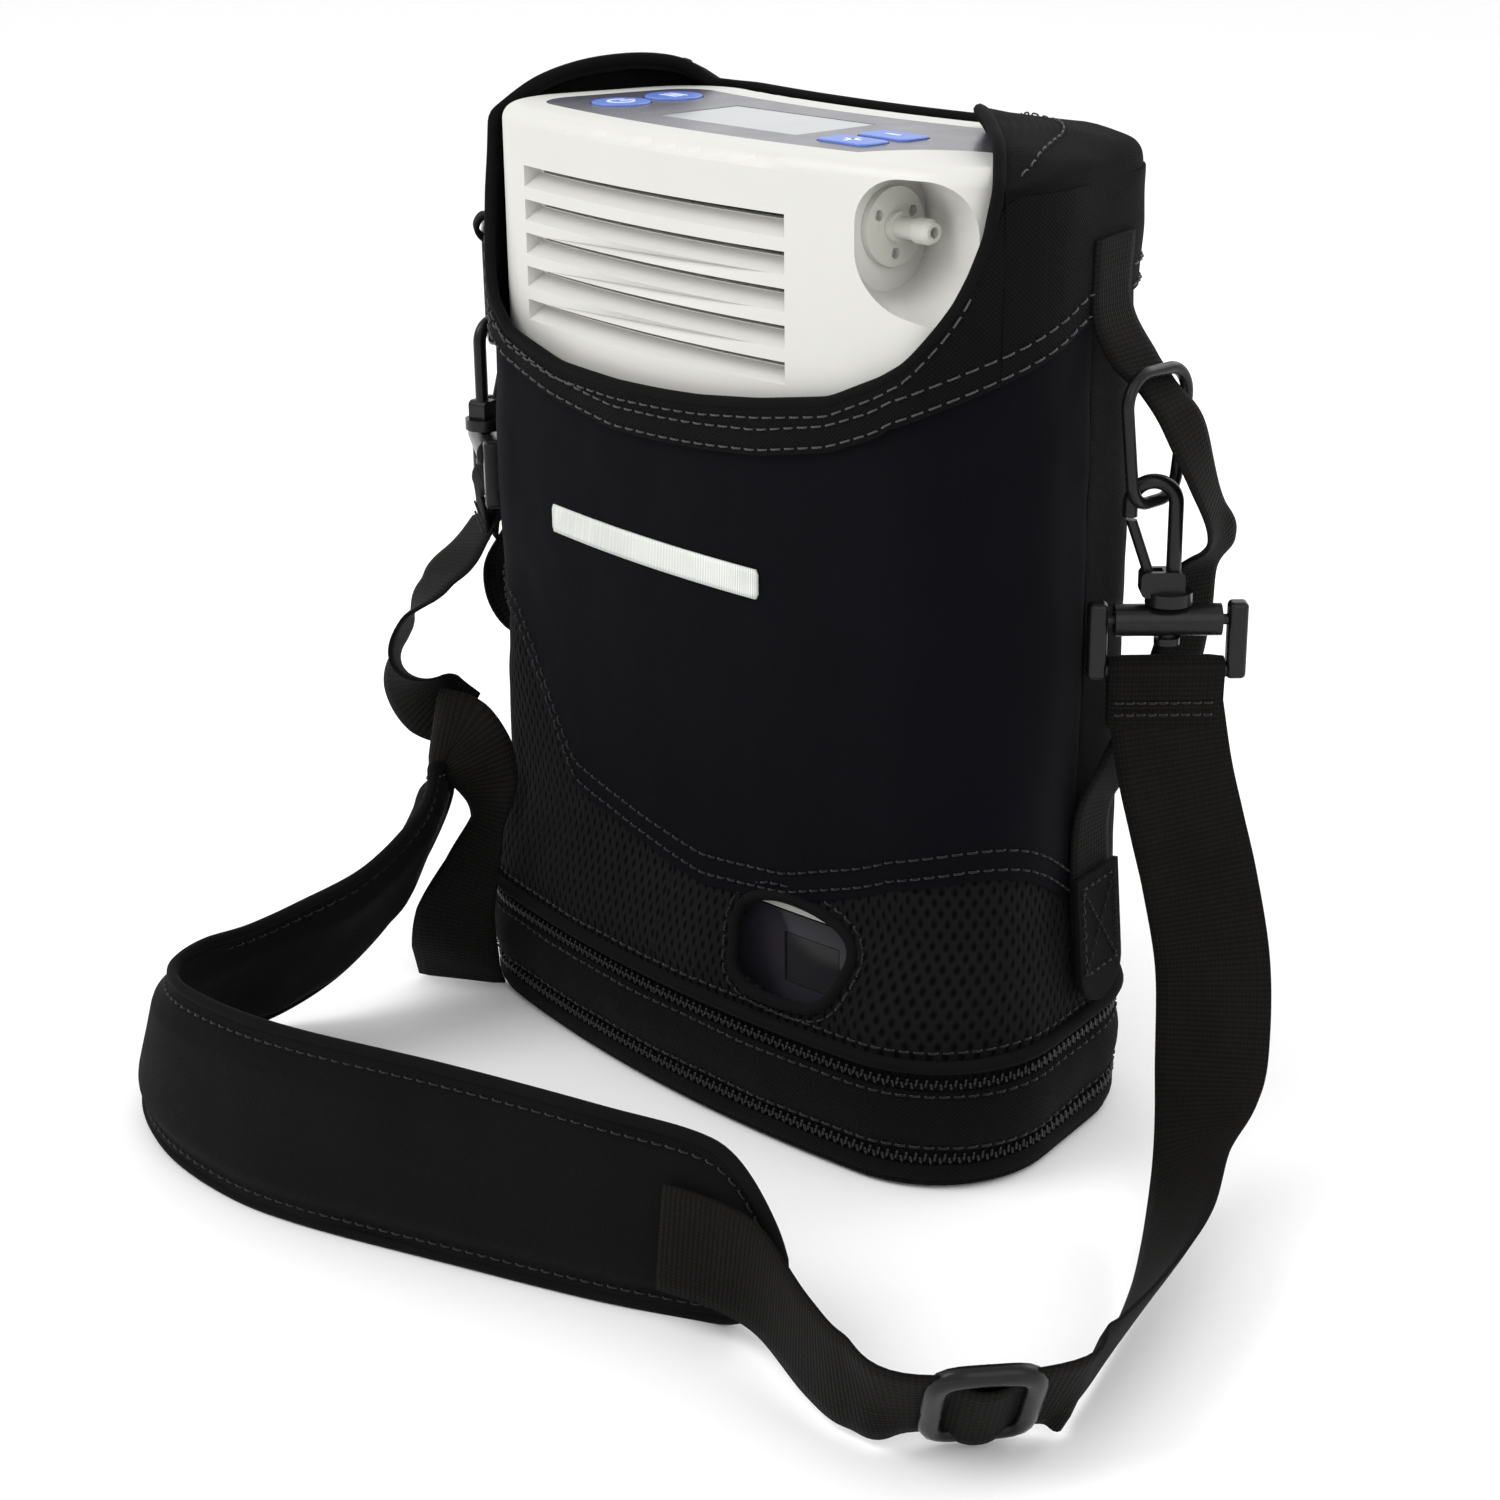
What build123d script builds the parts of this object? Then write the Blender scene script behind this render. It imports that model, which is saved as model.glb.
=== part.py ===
from build123d import *
import os
from math import asin, cos, degrees, radians, sin, sqrt, tan

# Portable oxygen concentrator in a fitted carry bag with an adjustable shoulder strap.
# Millimetres. +X is the user's left end, +Z is up, and the convex front faces -Y.
# The origin is the centre of the bag's base, on the surface that the bag stands on.

# ---- driving dimensions -----------------------------------------------------
ARC_RADIUS = 387.0  # plan radius of the curved cabinet's centre line
CABINET_WIDTH = 184.0
CABINET_DEPTH = 73.0
CABINET_CORNER = 23.0
CABINET_TOP = 249.4
CASE_WALL = 2.5
TOP_ROUND = 4.0
BATTERY_BOTTOM = 4.0
BATTERY_TOP = 59.5
HOUSING_BOTTOM = 60.0
SPLIT_RADIUS = ARC_RADIUS - 12.0  # the front and rear housings part on this arc

SLOT_COUNT = 5
SLOT_TOP = 235.5
SLOT_PITCH = 8.7
SLOT_HEIGHT = 5.6
SLOT_DEPTH = 6.0
SLOT_LEFT = -67.0
SLOT_RIGHT = 38.0

PANEL_INSET = 11.7
PANEL_THICK = 0.8
OUTLET_X = 58.0
OUTLET_Y = -20.0
OUTLET_Z = 233.5
BARB_RADIUS = 3.0  # at the bulb that grips the tube
BARB_LENGTH = 14.5

BAG_WIDTH = 190.0
BAG_DEPTH = 79.0
BAG_CORNER = 26.0
BASE_WIDTH = 196.0
BASE_DEPTH = 91.0
BASE_CORNER = 32.0
BASE_SHIFT = -1.7
BAG_CLEARANCE = 0.4
BAG_TOP = 253.0
FLARE_LOW = 38.0
FLARE_HIGH = 68.0
YOKE_SEAM = 178.0
OPENING_BOTTOM = 187.5
OPENING_RADIUS = 50.0
OPENING_WIDTH = 187.0
ZIP_HEIGHTS = {"lower": 9.0, "upper": 29.3}
ZIP_TAPE = 3.6
WINDOW_CENTRE = (46.0, 52.5)
WINDOW_SIZE = (37.0, 24.0)
CHAIN_HEIGHT = 1.2

WEBBING = 27.0
WEBBING_THICK = 2.0
PAD_THICK = 8.0
RING_LIMB = 1.5
RING_TOP_WIDTH = 24.0
RING_LOW_WIDTH = 15.0
RING_HEIGHT = 31.0
HOOK_LIMB = 1.8
HOOK_BEND = 5.4
HOOK_EYE = 4.5  # the hook's bend stands off the swivel's axis by this much
HOOK_RISE = 28.5  # height of the bend's centre above the crossbar
RING_IN_HOOK = 0.6  # height of the ring's lower limb above the bend's centre
FRAME_WIDTH = 38.0
FRAME_DROP = 12.5
BARREL_RADIUS = 3.9
SWIVEL_RADIUS = 2.0
RUNNING = 0.05  # radial running clearance of a pin in its bore
GAP = 0.3  # clearance between pieces that move past each other

ARC_AXIS = Axis((0, ARC_RADIUS, 0), (0, 0, 1))
nodes = {}


# ---- helpers ------------------------------------------------------------------
def on_arc(radius, angle, shift=0.0):
    """Plan point at an angle about the plan arcs' common centre; angle 0 is the front centre."""
    return (radius * sin(angle), shift + ARC_RADIUS - radius * cos(angle))


def half_spread(width, depth, corner):
    """Angle from the plan's middle to its radial ends that gives the overall width."""
    corner_path = ARC_RADIUS + depth / 2 - corner
    return asin((width / 2 - corner) / corner_path) + asin(corner / corner_path)


def band(width, depth, corner, shift=0.0):
    """Kidney-shaped plan: two arcs about one centre, radial ends and round corners."""
    outer = ARC_RADIUS + depth / 2
    inner = ARC_RADIUS - depth / 2
    half = half_spread(width, depth, corner)
    front = [on_arc(outer, a, shift) for a in (-half, 0, half)]
    rear = [on_arc(inner, a, shift) for a in (half, 0, -half)]
    edges = [
        ThreePointArc(*front),
        Line(front[2], rear[0]),
        ThreePointArc(*rear),
        Line(rear[2], front[0]),
    ]
    face = make_face(edges)
    return fillet(face.vertices(), corner)


def block(face, low, high):
    """A plan face stood up between two heights."""
    return Pos(0, 0, low) * extrude(face, high - low)


def ring_cut(face, inner, low, high):
    return block(face, low, high) - block(inner, low - 1, high + 1)


def box(low, high):
    size = [b - a for a, b in zip(low, high)]
    middle = [(a + b) / 2 for a, b in zip(low, high)]
    return Pos(*middle) * Box(*size)


def rod(start, end, radius):
    """A round bar between two points."""
    line = Vector(*end) - Vector(*start)
    return Plane(origin=start, z_dir=line) * Cylinder(
        radius, line.length, align=(Align.CENTER, Align.CENTER, Align.MIN)
    )


def sector(inner, outer, low, high, start, end):
    """Part of a ring about the plan arcs' centre, between two angles in degrees."""
    face = make_face(
        Polyline(
            (0, ARC_RADIUS - outer, low),
            (0, ARC_RADIUS - outer, high),
            (0, ARC_RADIUS - inner, high),
            (0, ARC_RADIUS - inner, low),
            close=True,
        )
    )
    solid = revolve(face, ARC_AXIS, end - start)
    return solid.rotate(ARC_AXIS, start)


def arc_angle(x, radius):
    return degrees(asin(x / radius))


def ribbon(stations, thick):
    """A flat strap through stations, each the strap's two edges at that place."""
    middles = [(Vector(*a) + Vector(*b)) * 0.5 for a, b in stations]
    sections = []
    for i, (a, b) in enumerate(stations):
        before = middles[max(i - 1, 0)]
        after = middles[min(i + 1, len(stations) - 1)]
        across = Vector(*b) - Vector(*a)
        ahead = after - before
        ahead = ahead - across * (ahead.dot(across) / across.dot(across))
        plane = Plane(origin=middles[i], x_dir=across, z_dir=ahead)
        sections.append(plane * Rectangle(across.length, thick))
    return loft(sections, ruled=True)


def strap(middles, acrosses, widths, thick):
    """A flat strap given by its middle line and its width's direction and size at each point."""
    stations = []
    for middle, across, width in zip(middles, acrosses, widths):
        half = Vector(*across).normalized() * (width / 2)
        centre = Vector(*middle)
        stations.append((tuple(centre - half), tuple(centre + half)))
    return ribbon(stations, thick)


def save(name, shape):
    nodes[name] = shape


# ---- plan outlines ----------------------------------------------------------
cabinet_plan = band(CABINET_WIDTH, CABINET_DEPTH, CABINET_CORNER)
cavity_plan = band(
    CABINET_WIDTH - 2 * CASE_WALL, CABINET_DEPTH - 2 * CASE_WALL, CABINET_CORNER - CASE_WALL
)
clear_plan = band(
    CABINET_WIDTH + 2 * BAG_CLEARANCE, CABINET_DEPTH + 2 * BAG_CLEARANCE, CABINET_CORNER + BAG_CLEARANCE
)
bag_plan = band(BAG_WIDTH, BAG_DEPTH, BAG_CORNER)
base_plan = band(BASE_WIDTH, BASE_DEPTH, BASE_CORNER, BASE_SHIFT)
FRONT = ARC_RADIUS + CABINET_DEPTH / 2


# ---- concentrator housings --------------------------------------------------
def outlet_pocket(grow=0.0):
    """Scoop at the front corner that holds the outlet; its inner end faces along +X."""
    turn = radians(30)
    length = 44.0
    inner = Plane(origin=(OUTLET_X - grow, OUTLET_Y, 232.5), x_dir=(0, 1, 0), z_dir=(1, 0, 0))
    outer = Plane(
        origin=(OUTLET_X + length * cos(turn), OUTLET_Y - length * sin(turn), 228.5),
        x_dir=(0, 1, 0),
        z_dir=(1, 0, 0),
    )
    small = RectangleRounded(23 + 2 * grow, 28 + 2 * grow, 11 + grow)
    large = RectangleRounded(35 + 2 * grow, 36 + 2 * grow, 13 + grow)
    return loft([inner * small, outer * large], ruled=True)


def louvre(top):
    """Cutter for one slot: deepest at its top, sloping out to the surface at its bottom."""
    y = ARC_RADIUS - FRONT
    face = make_face(
        Polyline(
            (0, y - 1, top),
            (0, y + SLOT_DEPTH - 1.2, top - 0.6),
            (0, y + SLOT_DEPTH - 1.2, top - 2.4),
            (0, y + 1.6, top - SLOT_HEIGHT + 1.2),
            (0, y - 1, top - SLOT_HEIGHT - 0.6),
            close=True,
        )
    )
    start = arc_angle(SLOT_LEFT, FRONT)
    end = arc_angle(SLOT_RIGHT, FRONT)
    return revolve(face, ARC_AXIS, end - start).rotate(ARC_AXIS, start)


outside = block(cabinet_plan, HOUSING_BOTTOM, CABINET_TOP)
outside = fillet(outside.edges().group_by(Axis.Z)[-1], TOP_ROUND)
inside = block(cavity_plan, HOUSING_BOTTOM + CASE_WALL, CABINET_TOP - CASE_WALL)
shell = outside - inside
front_side = sector(SPLIT_RADIUS, FRONT + 60, HOUSING_BOTTOM - 5, CABINET_TOP + 5, -40, 40)
rear_side = sector(SPLIT_RADIUS - 90, SPLIT_RADIUS, HOUSING_BOTTOM - 5, CABINET_TOP + 5, -40, 40)

slot_low = SLOT_TOP - SLOT_PITCH * (SLOT_COUNT - 1) - SLOT_HEIGHT
grille_back = sector(
    FRONT - SLOT_DEPTH - 1.5,
    FRONT - 1,
    slot_low - 3,
    SLOT_TOP + 3,
    arc_angle(SLOT_LEFT - 3, FRONT),
    arc_angle(SLOT_RIGHT + 3, FRONT),
)
housing_front = (shell & front_side) + grille_back
housing_front += outlet_pocket(2.0) & outside
housing_front -= outlet_pocket()
for i in range(SLOT_COUNT):
    housing_front -= louvre(SLOT_TOP - i * SLOT_PITCH)
    slit_top = SLOT_TOP - i * SLOT_PITCH - 0.8
    housing_front -= sector(
        FRONT - SLOT_DEPTH - 3,
        FRONT - SLOT_DEPTH + 2,
        slit_top - 1.4,
        slit_top,
        arc_angle(SLOT_LEFT + 2, FRONT),
        arc_angle(SLOT_RIGHT - 2, FRONT),
    )

# control panel film, let into the top
film_plan = band(
    CABINET_WIDTH - 2 * PANEL_INSET, CABINET_DEPTH - 2 * PANEL_INSET, CABINET_CORNER - PANEL_INSET
)
film_plan = film_plan - Pos(78, -30) * Circle(30)
film_room = block(film_plan, CABINET_TOP - PANEL_THICK, CABINET_TOP + 1)
housing_front -= film_room
housing_rear = (shell & rear_side) - film_room

BUTTONS = {
    "button_power": (-60.0, -4.0, "round"),
    "button_mode": (-60.0, 13.8, "round"),
    "button_plus": (35.5, -10.6, "wedge"),
    "button_minus": (36.5, 1.8, "wedge"),
}
LCD_CENTRE = (-8.3, 0.7)
LCD_SIZE = (52.0, 26.5)
BUTTON_TRAVEL = 0.8
KEY_SINK = 4.0  # keys reach this far below the panel's face


def key_face(kind, grow=0.0):
    if kind == "round":
        return Circle(7.8 + grow)
    return RectangleRounded(17.0 + 2 * grow, 9.6 + 2 * grow, 2.6)


key_room = None
for name, (x, y, kind) in BUTTONS.items():
    hole = Pos(x, y) * block(key_face(kind, GAP), CABINET_TOP - KEY_SINK - 2, CABINET_TOP + 1)
    key_room = hole if key_room is None else key_room + hole
    key = Pos(x, y) * block(key_face(kind), CABINET_TOP - KEY_SINK, CABINET_TOP + 0.5)
    key = fillet(key.edges().group_by(Axis.Z)[-1], 0.4)
    save(name, key)

lcd_room = Pos(*LCD_CENTRE) * block(Rectangle(*LCD_SIZE), CABINET_TOP - 3.5, CABINET_TOP + 1)
film = block(film_plan, CABINET_TOP - PANEL_THICK, CABINET_TOP) - key_room - lcd_room
housing_front -= key_room
housing_front -= lcd_room
housing_rear -= key_room
housing_rear -= lcd_room
save("control_panel", film)
save("display_window", Pos(*LCD_CENTRE) * block(Rectangle(*LCD_SIZE), CABINET_TOP - 3.5, CABINET_TOP - 0.1))

# housing screws stand in four bosses of the rear housing
SCREWS = [(x, z) for x in (-44.0, 44.0) for z in (74.0, 232.0)]
rear_face = ARC_RADIUS - CABINET_DEPTH / 2
screws = []
for x, z in SCREWS:
    y = ARC_RADIUS - sqrt(rear_face**2 - x**2)
    boss = rod((x, y - 16, z), (x, y - 1, z), 4.0)
    housing_rear += boss
    housing_rear -= rod((x, y - 12, z), (x, y + 4, z), 1.5)
    housing_rear -= rod((x, y - 2.4, z), (x, y + 4, z), 3.1)
    screw = rod((x, y - 11.8, z), (x, y - 2.4, z), 1.5) + rod((x, y - 2.4, z), (x, y - 0.4, z), 3.0)
    screws.append(screw)
# power inlet in the rear housing
INLET = (-46.0, 86.0)
inlet_y = ARC_RADIUS - sqrt(rear_face**2 - INLET[0] ** 2)
housing_rear -= rod((INLET[0], inlet_y - 8, INLET[1]), (INLET[0], inlet_y + 4, INLET[1]), 4.2)
inlet = rod((INLET[0], inlet_y - 12, INLET[1]), (INLET[0], inlet_y - 0.6, INLET[1]), 4.0)
inlet -= rod((INLET[0], inlet_y - 9, INLET[1]), (INLET[0], inlet_y + 1, INLET[1]), 2.8)
inlet += rod((INLET[0], inlet_y - 10, INLET[1]), (INLET[0], inlet_y - 2, INLET[1]), 0.9)
# rear exhaust louvres
for i in range(4):
    housing_rear -= sector(
        rear_face - 1, rear_face + CASE_WALL + 1, 96 + 7 * i, 98.5 + 7 * i, -4, 8
    )
save("front_housing", housing_front)
save("rear_housing", housing_rear)
save("housing_screws", Compound(children=screws))
save("power_inlet", inlet)

# outlet disc and barb on the pocket's inner end
disc = rod((OUTLET_X + 0.1, OUTLET_Y, OUTLET_Z), (OUTLET_X + 2.0, OUTLET_Y, OUTLET_Z), 9.2)
for angle in (60, 180, 300):
    y = OUTLET_Y + 6.2 * sin(radians(angle))
    z = OUTLET_Z + 6.2 * cos(radians(angle))
    disc -= rod((OUTLET_X, y, z), (OUTLET_X + 3, y, z), 1.3)
disc -= rod((OUTLET_X - 1, OUTLET_Y, OUTLET_Z), (OUTLET_X + 3, OUTLET_Y, OUTLET_Z), 2.2)
barb = rod((OUTLET_X - 6, OUTLET_Y, OUTLET_Z), (OUTLET_X + 6, OUTLET_Y, OUTLET_Z), 2.15)
barb += rod((OUTLET_X + 2.1, OUTLET_Y, OUTLET_Z), (OUTLET_X + 3.6, OUTLET_Y, OUTLET_Z), 3.6)
bulb_start = OUTLET_X + BARB_LENGTH - 5
bulb_end = OUTLET_X + BARB_LENGTH - 1.5
barb += rod((OUTLET_X + 3.4, OUTLET_Y, OUTLET_Z), (bulb_start + 0.5, OUTLET_Y, OUTLET_Z), BARB_RADIUS - 0.5)
barb += rod((bulb_start, OUTLET_Y, OUTLET_Z), (bulb_end, OUTLET_Y, OUTLET_Z), BARB_RADIUS)
nose = Plane(origin=(bulb_end, OUTLET_Y, OUTLET_Z), z_dir=(1, 0, 0))
barb += nose * Cone(BARB_RADIUS, 2.2, 1.5, align=(Align.CENTER, Align.CENTER, Align.MIN))
barb -= rod((OUTLET_X - 7, OUTLET_Y, OUTLET_Z), (OUTLET_X + 20, OUTLET_Y, OUTLET_Z), 1.3)
save("outlet_disc", disc)
save("outlet_barb", barb)
nodes["front_housing"] -= rod((OUTLET_X - 8, OUTLET_Y, OUTLET_Z), (OUTLET_X + 1, OUTLET_Y, OUTLET_Z), 2.3)

# ---- battery ------------------------------------------------------------------
battery = block(cabinet_plan, BATTERY_BOTTOM, BATTERY_TOP)
battery = fillet(battery.edges().group_by(Axis.Z)[0], 3)
battery -= block(cavity_plan, BATTERY_BOTTOM + CASE_WALL, BATTERY_TOP - CASE_WALL)
LATCH_X, LATCH_Z = 46.0, 47.0
latch_angle = arc_angle(LATCH_X, FRONT)
latch_room = sector(FRONT - 5, FRONT + 2, LATCH_Z - 7, LATCH_Z + 7, latch_angle - 1.25, latch_angle + 1.25)
battery -= latch_room
latch = sector(
    FRONT - 4, FRONT - 0.2, LATCH_Z - 7 + GAP, LATCH_Z + 7 - GAP, latch_angle - 1.2, latch_angle + 1.2
)
save("battery_case", battery)
save("battery_latch", fillet(latch.edges().group_by(Axis.Y)[0], 0.6))
cells = []
for i in range(8):
    angle = radians(-9.6 + 19.2 / 7 * i)
    x, y = on_arc(ARC_RADIUS, angle)
    for offset in (-12.0, 12.0):
        cx, cy = on_arc(ARC_RADIUS + offset, angle)
        cells.append(rod((cx, cy, 8), (cx, cy, 54), 8.8))
save("battery_cells", Compound(children=cells))

# ---- inside the cabinet --------------------------------------------------------
chassis_plan = band(CABINET_WIDTH - 10, CABINET_DEPTH - 10, CABINET_CORNER - 5)
save("chassis_plate", block(chassis_plan, 64, 66))
COMPRESSOR_X = (-32.0, 32.0)
compressor = box((-28, -16, 72), (28, 22, 104))
compressor += rod((0, 3, 104), (0, 3, 122), 16)
for x in COMPRESSOR_X:
    compressor += rod((x * 0.8, 3, 88), (x * 1.35, 3, 88), 13)
save("compressor", compressor)
feet = [rod((x, y, 66), (x, y, 72), 4) for x in (-20, 20) for y in (-9, 15)]
save("isolator_feet", Compound(children=feet))
sieve_columns = []
for y in (-9.0, 22.0):
    column = rod((-66, y, 67), (-66, y, 186), 14)
    sieve_columns.append(fillet(column.edges().filter_by(GeomType.CIRCLE), 3))
save("sieve_columns", Compound(children=sieve_columns))
tank = rod((66, 10, 67), (66, 10, 186), 15)
save("product_tank", fillet(tank.edges().filter_by(GeomType.CIRCLE), 4))
manifold = box((-34, -12, 134), (34, 10, 152))
for x in (-24, -8, 8, 24):
    manifold += rod((x, -1, 152), (x, -1, 168), 6)
save("valve_manifold", manifold)
save("circuit_board", box((-48, 24, 112), (48, 25.6, 226)))
save(
    "intake_filter",
    sector(
        FRONT - SLOT_DEPTH - 5.5,
        FRONT - SLOT_DEPTH - 2,
        slot_low - 2,
        SLOT_TOP + 2,
        arc_angle(SLOT_LEFT, FRONT),
        arc_angle(SLOT_RIGHT, FRONT),
    ),
)
FAN = (-15.0, -16.0, 212.0)
fan_frame = box((FAN[0] - 22, FAN[1], FAN[2] - 22), (FAN[0] + 22, FAN[1] + 11, FAN[2] + 22))
fan_frame -= rod((FAN[0], FAN[1] - 1, FAN[2]), (FAN[0], FAN[1] + 12, FAN[2]), 20)
fan_frame += box((FAN[0] - 21, FAN[1] + 9.5, FAN[2] - 1.5), (FAN[0] + 21, FAN[1] + 11, FAN[2] + 1.5))
fan_frame += rod((FAN[0], FAN[1] + 2, FAN[2]), (FAN[0], FAN[1] + 10, FAN[2]), 1.5)
save("fan_frame", fan_frame)
rotor = rod((FAN[0], FAN[1] + 1, FAN[2]), (FAN[0], FAN[1] + 9, FAN[2]), 8)
for i in range(7):
    blade = box((7, 1.5, -0.6), (18.6, 8, 0.6))
    blade = blade.rotate(Axis.X, 28).rotate(Axis.Y, i * 360 / 7)
    rotor += Pos(*FAN) * Pos(0, 0.6, 0) * blade
inner_band = rod((FAN[0], FAN[1] + 1, FAN[2]), (FAN[0], FAN[1] + 9, FAN[2]), 19.2)
rotor = rotor & inner_band
rotor -= rod((FAN[0], FAN[1], FAN[2]), (FAN[0], FAN[1] + 12, FAN[2]), 1.5 + RUNNING)
save("fan_rotor", rotor)
hose_points = [(34, -1, 143), (44, -1, 143), (44, -14, 190), (40, OUTLET_Y, OUTLET_Z), (52, OUTLET_Y, OUTLET_Z)]
hose_path = FilletPolyline(*hose_points, radius=4)
save("outlet_hose", sweep(Plane(origin=hose_points[0], z_dir=(1, 0, 0)) * Circle(2.6), path=hose_path))

# ---- carry bag ------------------------------------------------------------------
def base_ring(low, high, inset=0.0):
    outer = band(BASE_WIDTH - 2 * inset, BASE_DEPTH - 2 * inset, BASE_CORNER - inset, BASE_SHIFT)
    return ring_cut(outer, clear_plan, low, high)


zip_low, zip_high = ZIP_HEIGHTS["lower"], ZIP_HEIGHTS["upper"]
half_tape = ZIP_TAPE / 2
base = block(base_plan, 0, 3)
save("bag_base_panel", fillet(base.edges().group_by(Axis.Z)[0], 1.5))
save("bag_lower_band", base_ring(3, zip_low - half_tape))
save("bag_expansion_band", base_ring(zip_low + half_tape, zip_high - half_tape))
for name, height in ZIP_HEIGHTS.items():
    tape = base_ring(height - half_tape, height + half_tape, 1.0)
    tape += base_ring(height - CHAIN_HEIGHT / 2, height + CHAIN_HEIGHT / 2, -0.3)
    save("zipper_" + name, tape)

# one flaring wall from the upper zipper to the top, cut into the bag's panels
skirt = block(base_plan, zip_high + half_tape, FLARE_LOW)
flare = loft([Pos(0, 0, FLARE_LOW) * base_plan, Pos(0, 0, FLARE_HIGH) * bag_plan], ruled=True)
upper = block(bag_plan, FLARE_HIGH, BAG_TOP)
upper = fillet(upper.edges().group_by(Axis.Z)[-1], 4)
wall = skirt + flare + upper
wall -= block(clear_plan, 0, CABINET_TOP + BAG_CLEARANCE)

opening = Plane.XZ * Pos(0, OPENING_BOTTOM + 100) * RectangleRounded(OPENING_WIDTH, 200, OPENING_RADIUS)
wall -= Pos(0, 12, 0) * extrude(opening, 80)
HOOD_EDGE = [
    (-120, -60), (-120, -22), (-92, -20), (-88, 1), (-82, 17), (-72, 31),
    (44, 31), (52, 14), (92, -20), (120, -22),
]
top_opening = make_face(Polyline(*HOOD_EDGE, (120, -60), close=True))
wall -= block(top_opening, CABINET_TOP - 6, BAG_TOP + 10)
rear_part = sector(200, SPLIT_RADIUS, 0, BAG_TOP + 5, -40, 40)
front_part = sector(SPLIT_RADIUS, 500, 0, BAG_TOP + 5, -40, 40)
mesh_zone = block(Rectangle(400, 400), zip_high, FLARE_HIGH)
panel_zone = block(Rectangle(400, 400), FLARE_HIGH, YOKE_SEAM)
yoke_zone = block(Rectangle(400, 400), YOKE_SEAM, BAG_TOP + 10)

window = Plane.XZ * Pos(*WINDOW_CENTRE) * RectangleRounded(*WINDOW_SIZE, 9)
window_cut = Pos(0, -20, 0) * extrude(window, 60)
rim = Plane.XZ * Pos(*WINDOW_CENTRE) * RectangleRounded(WINDOW_SIZE[0] + 4, WINDOW_SIZE[1] + 4, 11)
rim_cut = Pos(0, -20, 0) * extrude(rim, 60)
mesh_panel = wall & mesh_zone & front_part
save("bag_window_binding", (mesh_panel & rim_cut) - window_cut)
save("bag_mesh_panel", mesh_panel - rim_cut)
front_panel = wall & panel_zone & front_part
save("bag_front_panel", front_panel)
back_panel = wall & rear_part & block(Rectangle(400, 400), zip_high, YOKE_SEAM)
# the power lead reaches its inlet through a round hole in the back panel
save("bag_back_panel", back_panel - rod((INLET[0], 30, INLET[1]), (INLET[0], 60, INLET[1]), 9))
yoke = wall & yoke_zone
middle_zone = box((-40, -100, 0), (40, 100, 300))
save("bag_yoke_rear", yoke & rear_part & middle_zone)
for side, name in ((-1, "left"), (1, "right")):
    end_zone = Pos(side * 140, 0, 150) * Box(200, 300, 320)
    save("bag_yoke_" + name, (yoke & end_zone) - box((-40, 0, 0), (40, 100, 300)))
save("bag_yoke_front", yoke & front_part & middle_zone)

# plain reflective bar sewn on the front panel
bag_front = ARC_RADIUS + BAG_DEPTH / 2
save(
    "reflective_tab",
    sector(bag_front + 0.05, bag_front + 0.75, 142, 150, arc_angle(-50, bag_front), arc_angle(34, bag_front)),
)

# ---- zipper sliders, parked on the back ------------------------------------------
rear_skin = ARC_RADIUS - BASE_DEPTH / 2  # radius of the base's concave back
SLIDER_TURN = 1.0  # half the slider's length, in degrees
SLIDER_REST = {"upper": arc_angle(-36, rear_skin), "lower": arc_angle(-44, rear_skin)}
PULL_LENGTH = {"upper": 15.0, "lower": 7.0}


def shifted(shape):
    """The base's arcs have their centre a little nearer the front than the cabinet's."""
    return Pos(0, BASE_SHIFT, 0) * shape


for name, height in ZIP_HEIGHTS.items():
    rest = SLIDER_REST[name]
    chain_skin = rear_skin - 0.3
    plate = sector(
        chain_skin - 1.6, chain_skin - GAP, height - 3.4, height + 3.4, rest - SLIDER_TURN, rest + SLIDER_TURN
    )
    for side in (-1, 1):
        flange = height + side * (CHAIN_HEIGHT / 2 + 0.55)
        plate += sector(
            chain_skin - 0.8, rear_skin + 0.6, flange - 0.25, flange + 0.25, rest - 0.8, rest + 0.8
        )
    out_x, out_y = on_arc(chain_skin - 3.4, radians(rest), 0)
    along = (cos(radians(rest)), sin(radians(rest)))
    pivot = (out_x, out_y, height + 1.2)
    # two ears carry the pull's pin
    for side in (-1, 1):
        ear_x = out_x + side * 2.6 * along[0]
        ear_y = out_y + side * 2.6 * along[1]
        ear = Plane(origin=(ear_x, ear_y, height + 1.2), x_dir=(along[0], along[1], 0), z_dir=(0, 0, 1))
        plate += ear * Box(1.2, 4.6, 2.6)
    pin_a = (out_x - 3.0 * along[0], out_y - 3.0 * along[1], pivot[2])
    pin_b = (out_x + 3.0 * along[0], out_y + 3.0 * along[1], pivot[2])
    plate += rod(pin_a, pin_b, 0.6)
    save("zip_slider_" + name, shifted(plate))
    frame = Plane(origin=pivot, x_dir=(along[0], along[1], 0), z_dir=(-along[1], along[0], 0))
    length = PULL_LENGTH[name]
    # this plane's Y axis points down, so the pull hangs along it
    pull = frame * Pos(0, length / 2, 0) * Box(3.2, length, 1.2)
    pull += rod(
        (out_x - 1.6 * along[0], out_y - 1.6 * along[1], pivot[2]),
        (out_x + 1.6 * along[0], out_y + 1.6 * along[1], pivot[2]),
        1.1,
    )
    pull -= rod(pin_a, pin_b, 0.6 + RUNNING)
    save("zip_pull_" + name, shifted(pull))

# ---- strap hardware ----------------------------------------------------------------
SIDES = ("left", "right")
RING_CENTRE = {"left": (-106.3, -15.0, 197.5), "right": (107.0, 19.0, 186.0)}
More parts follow.
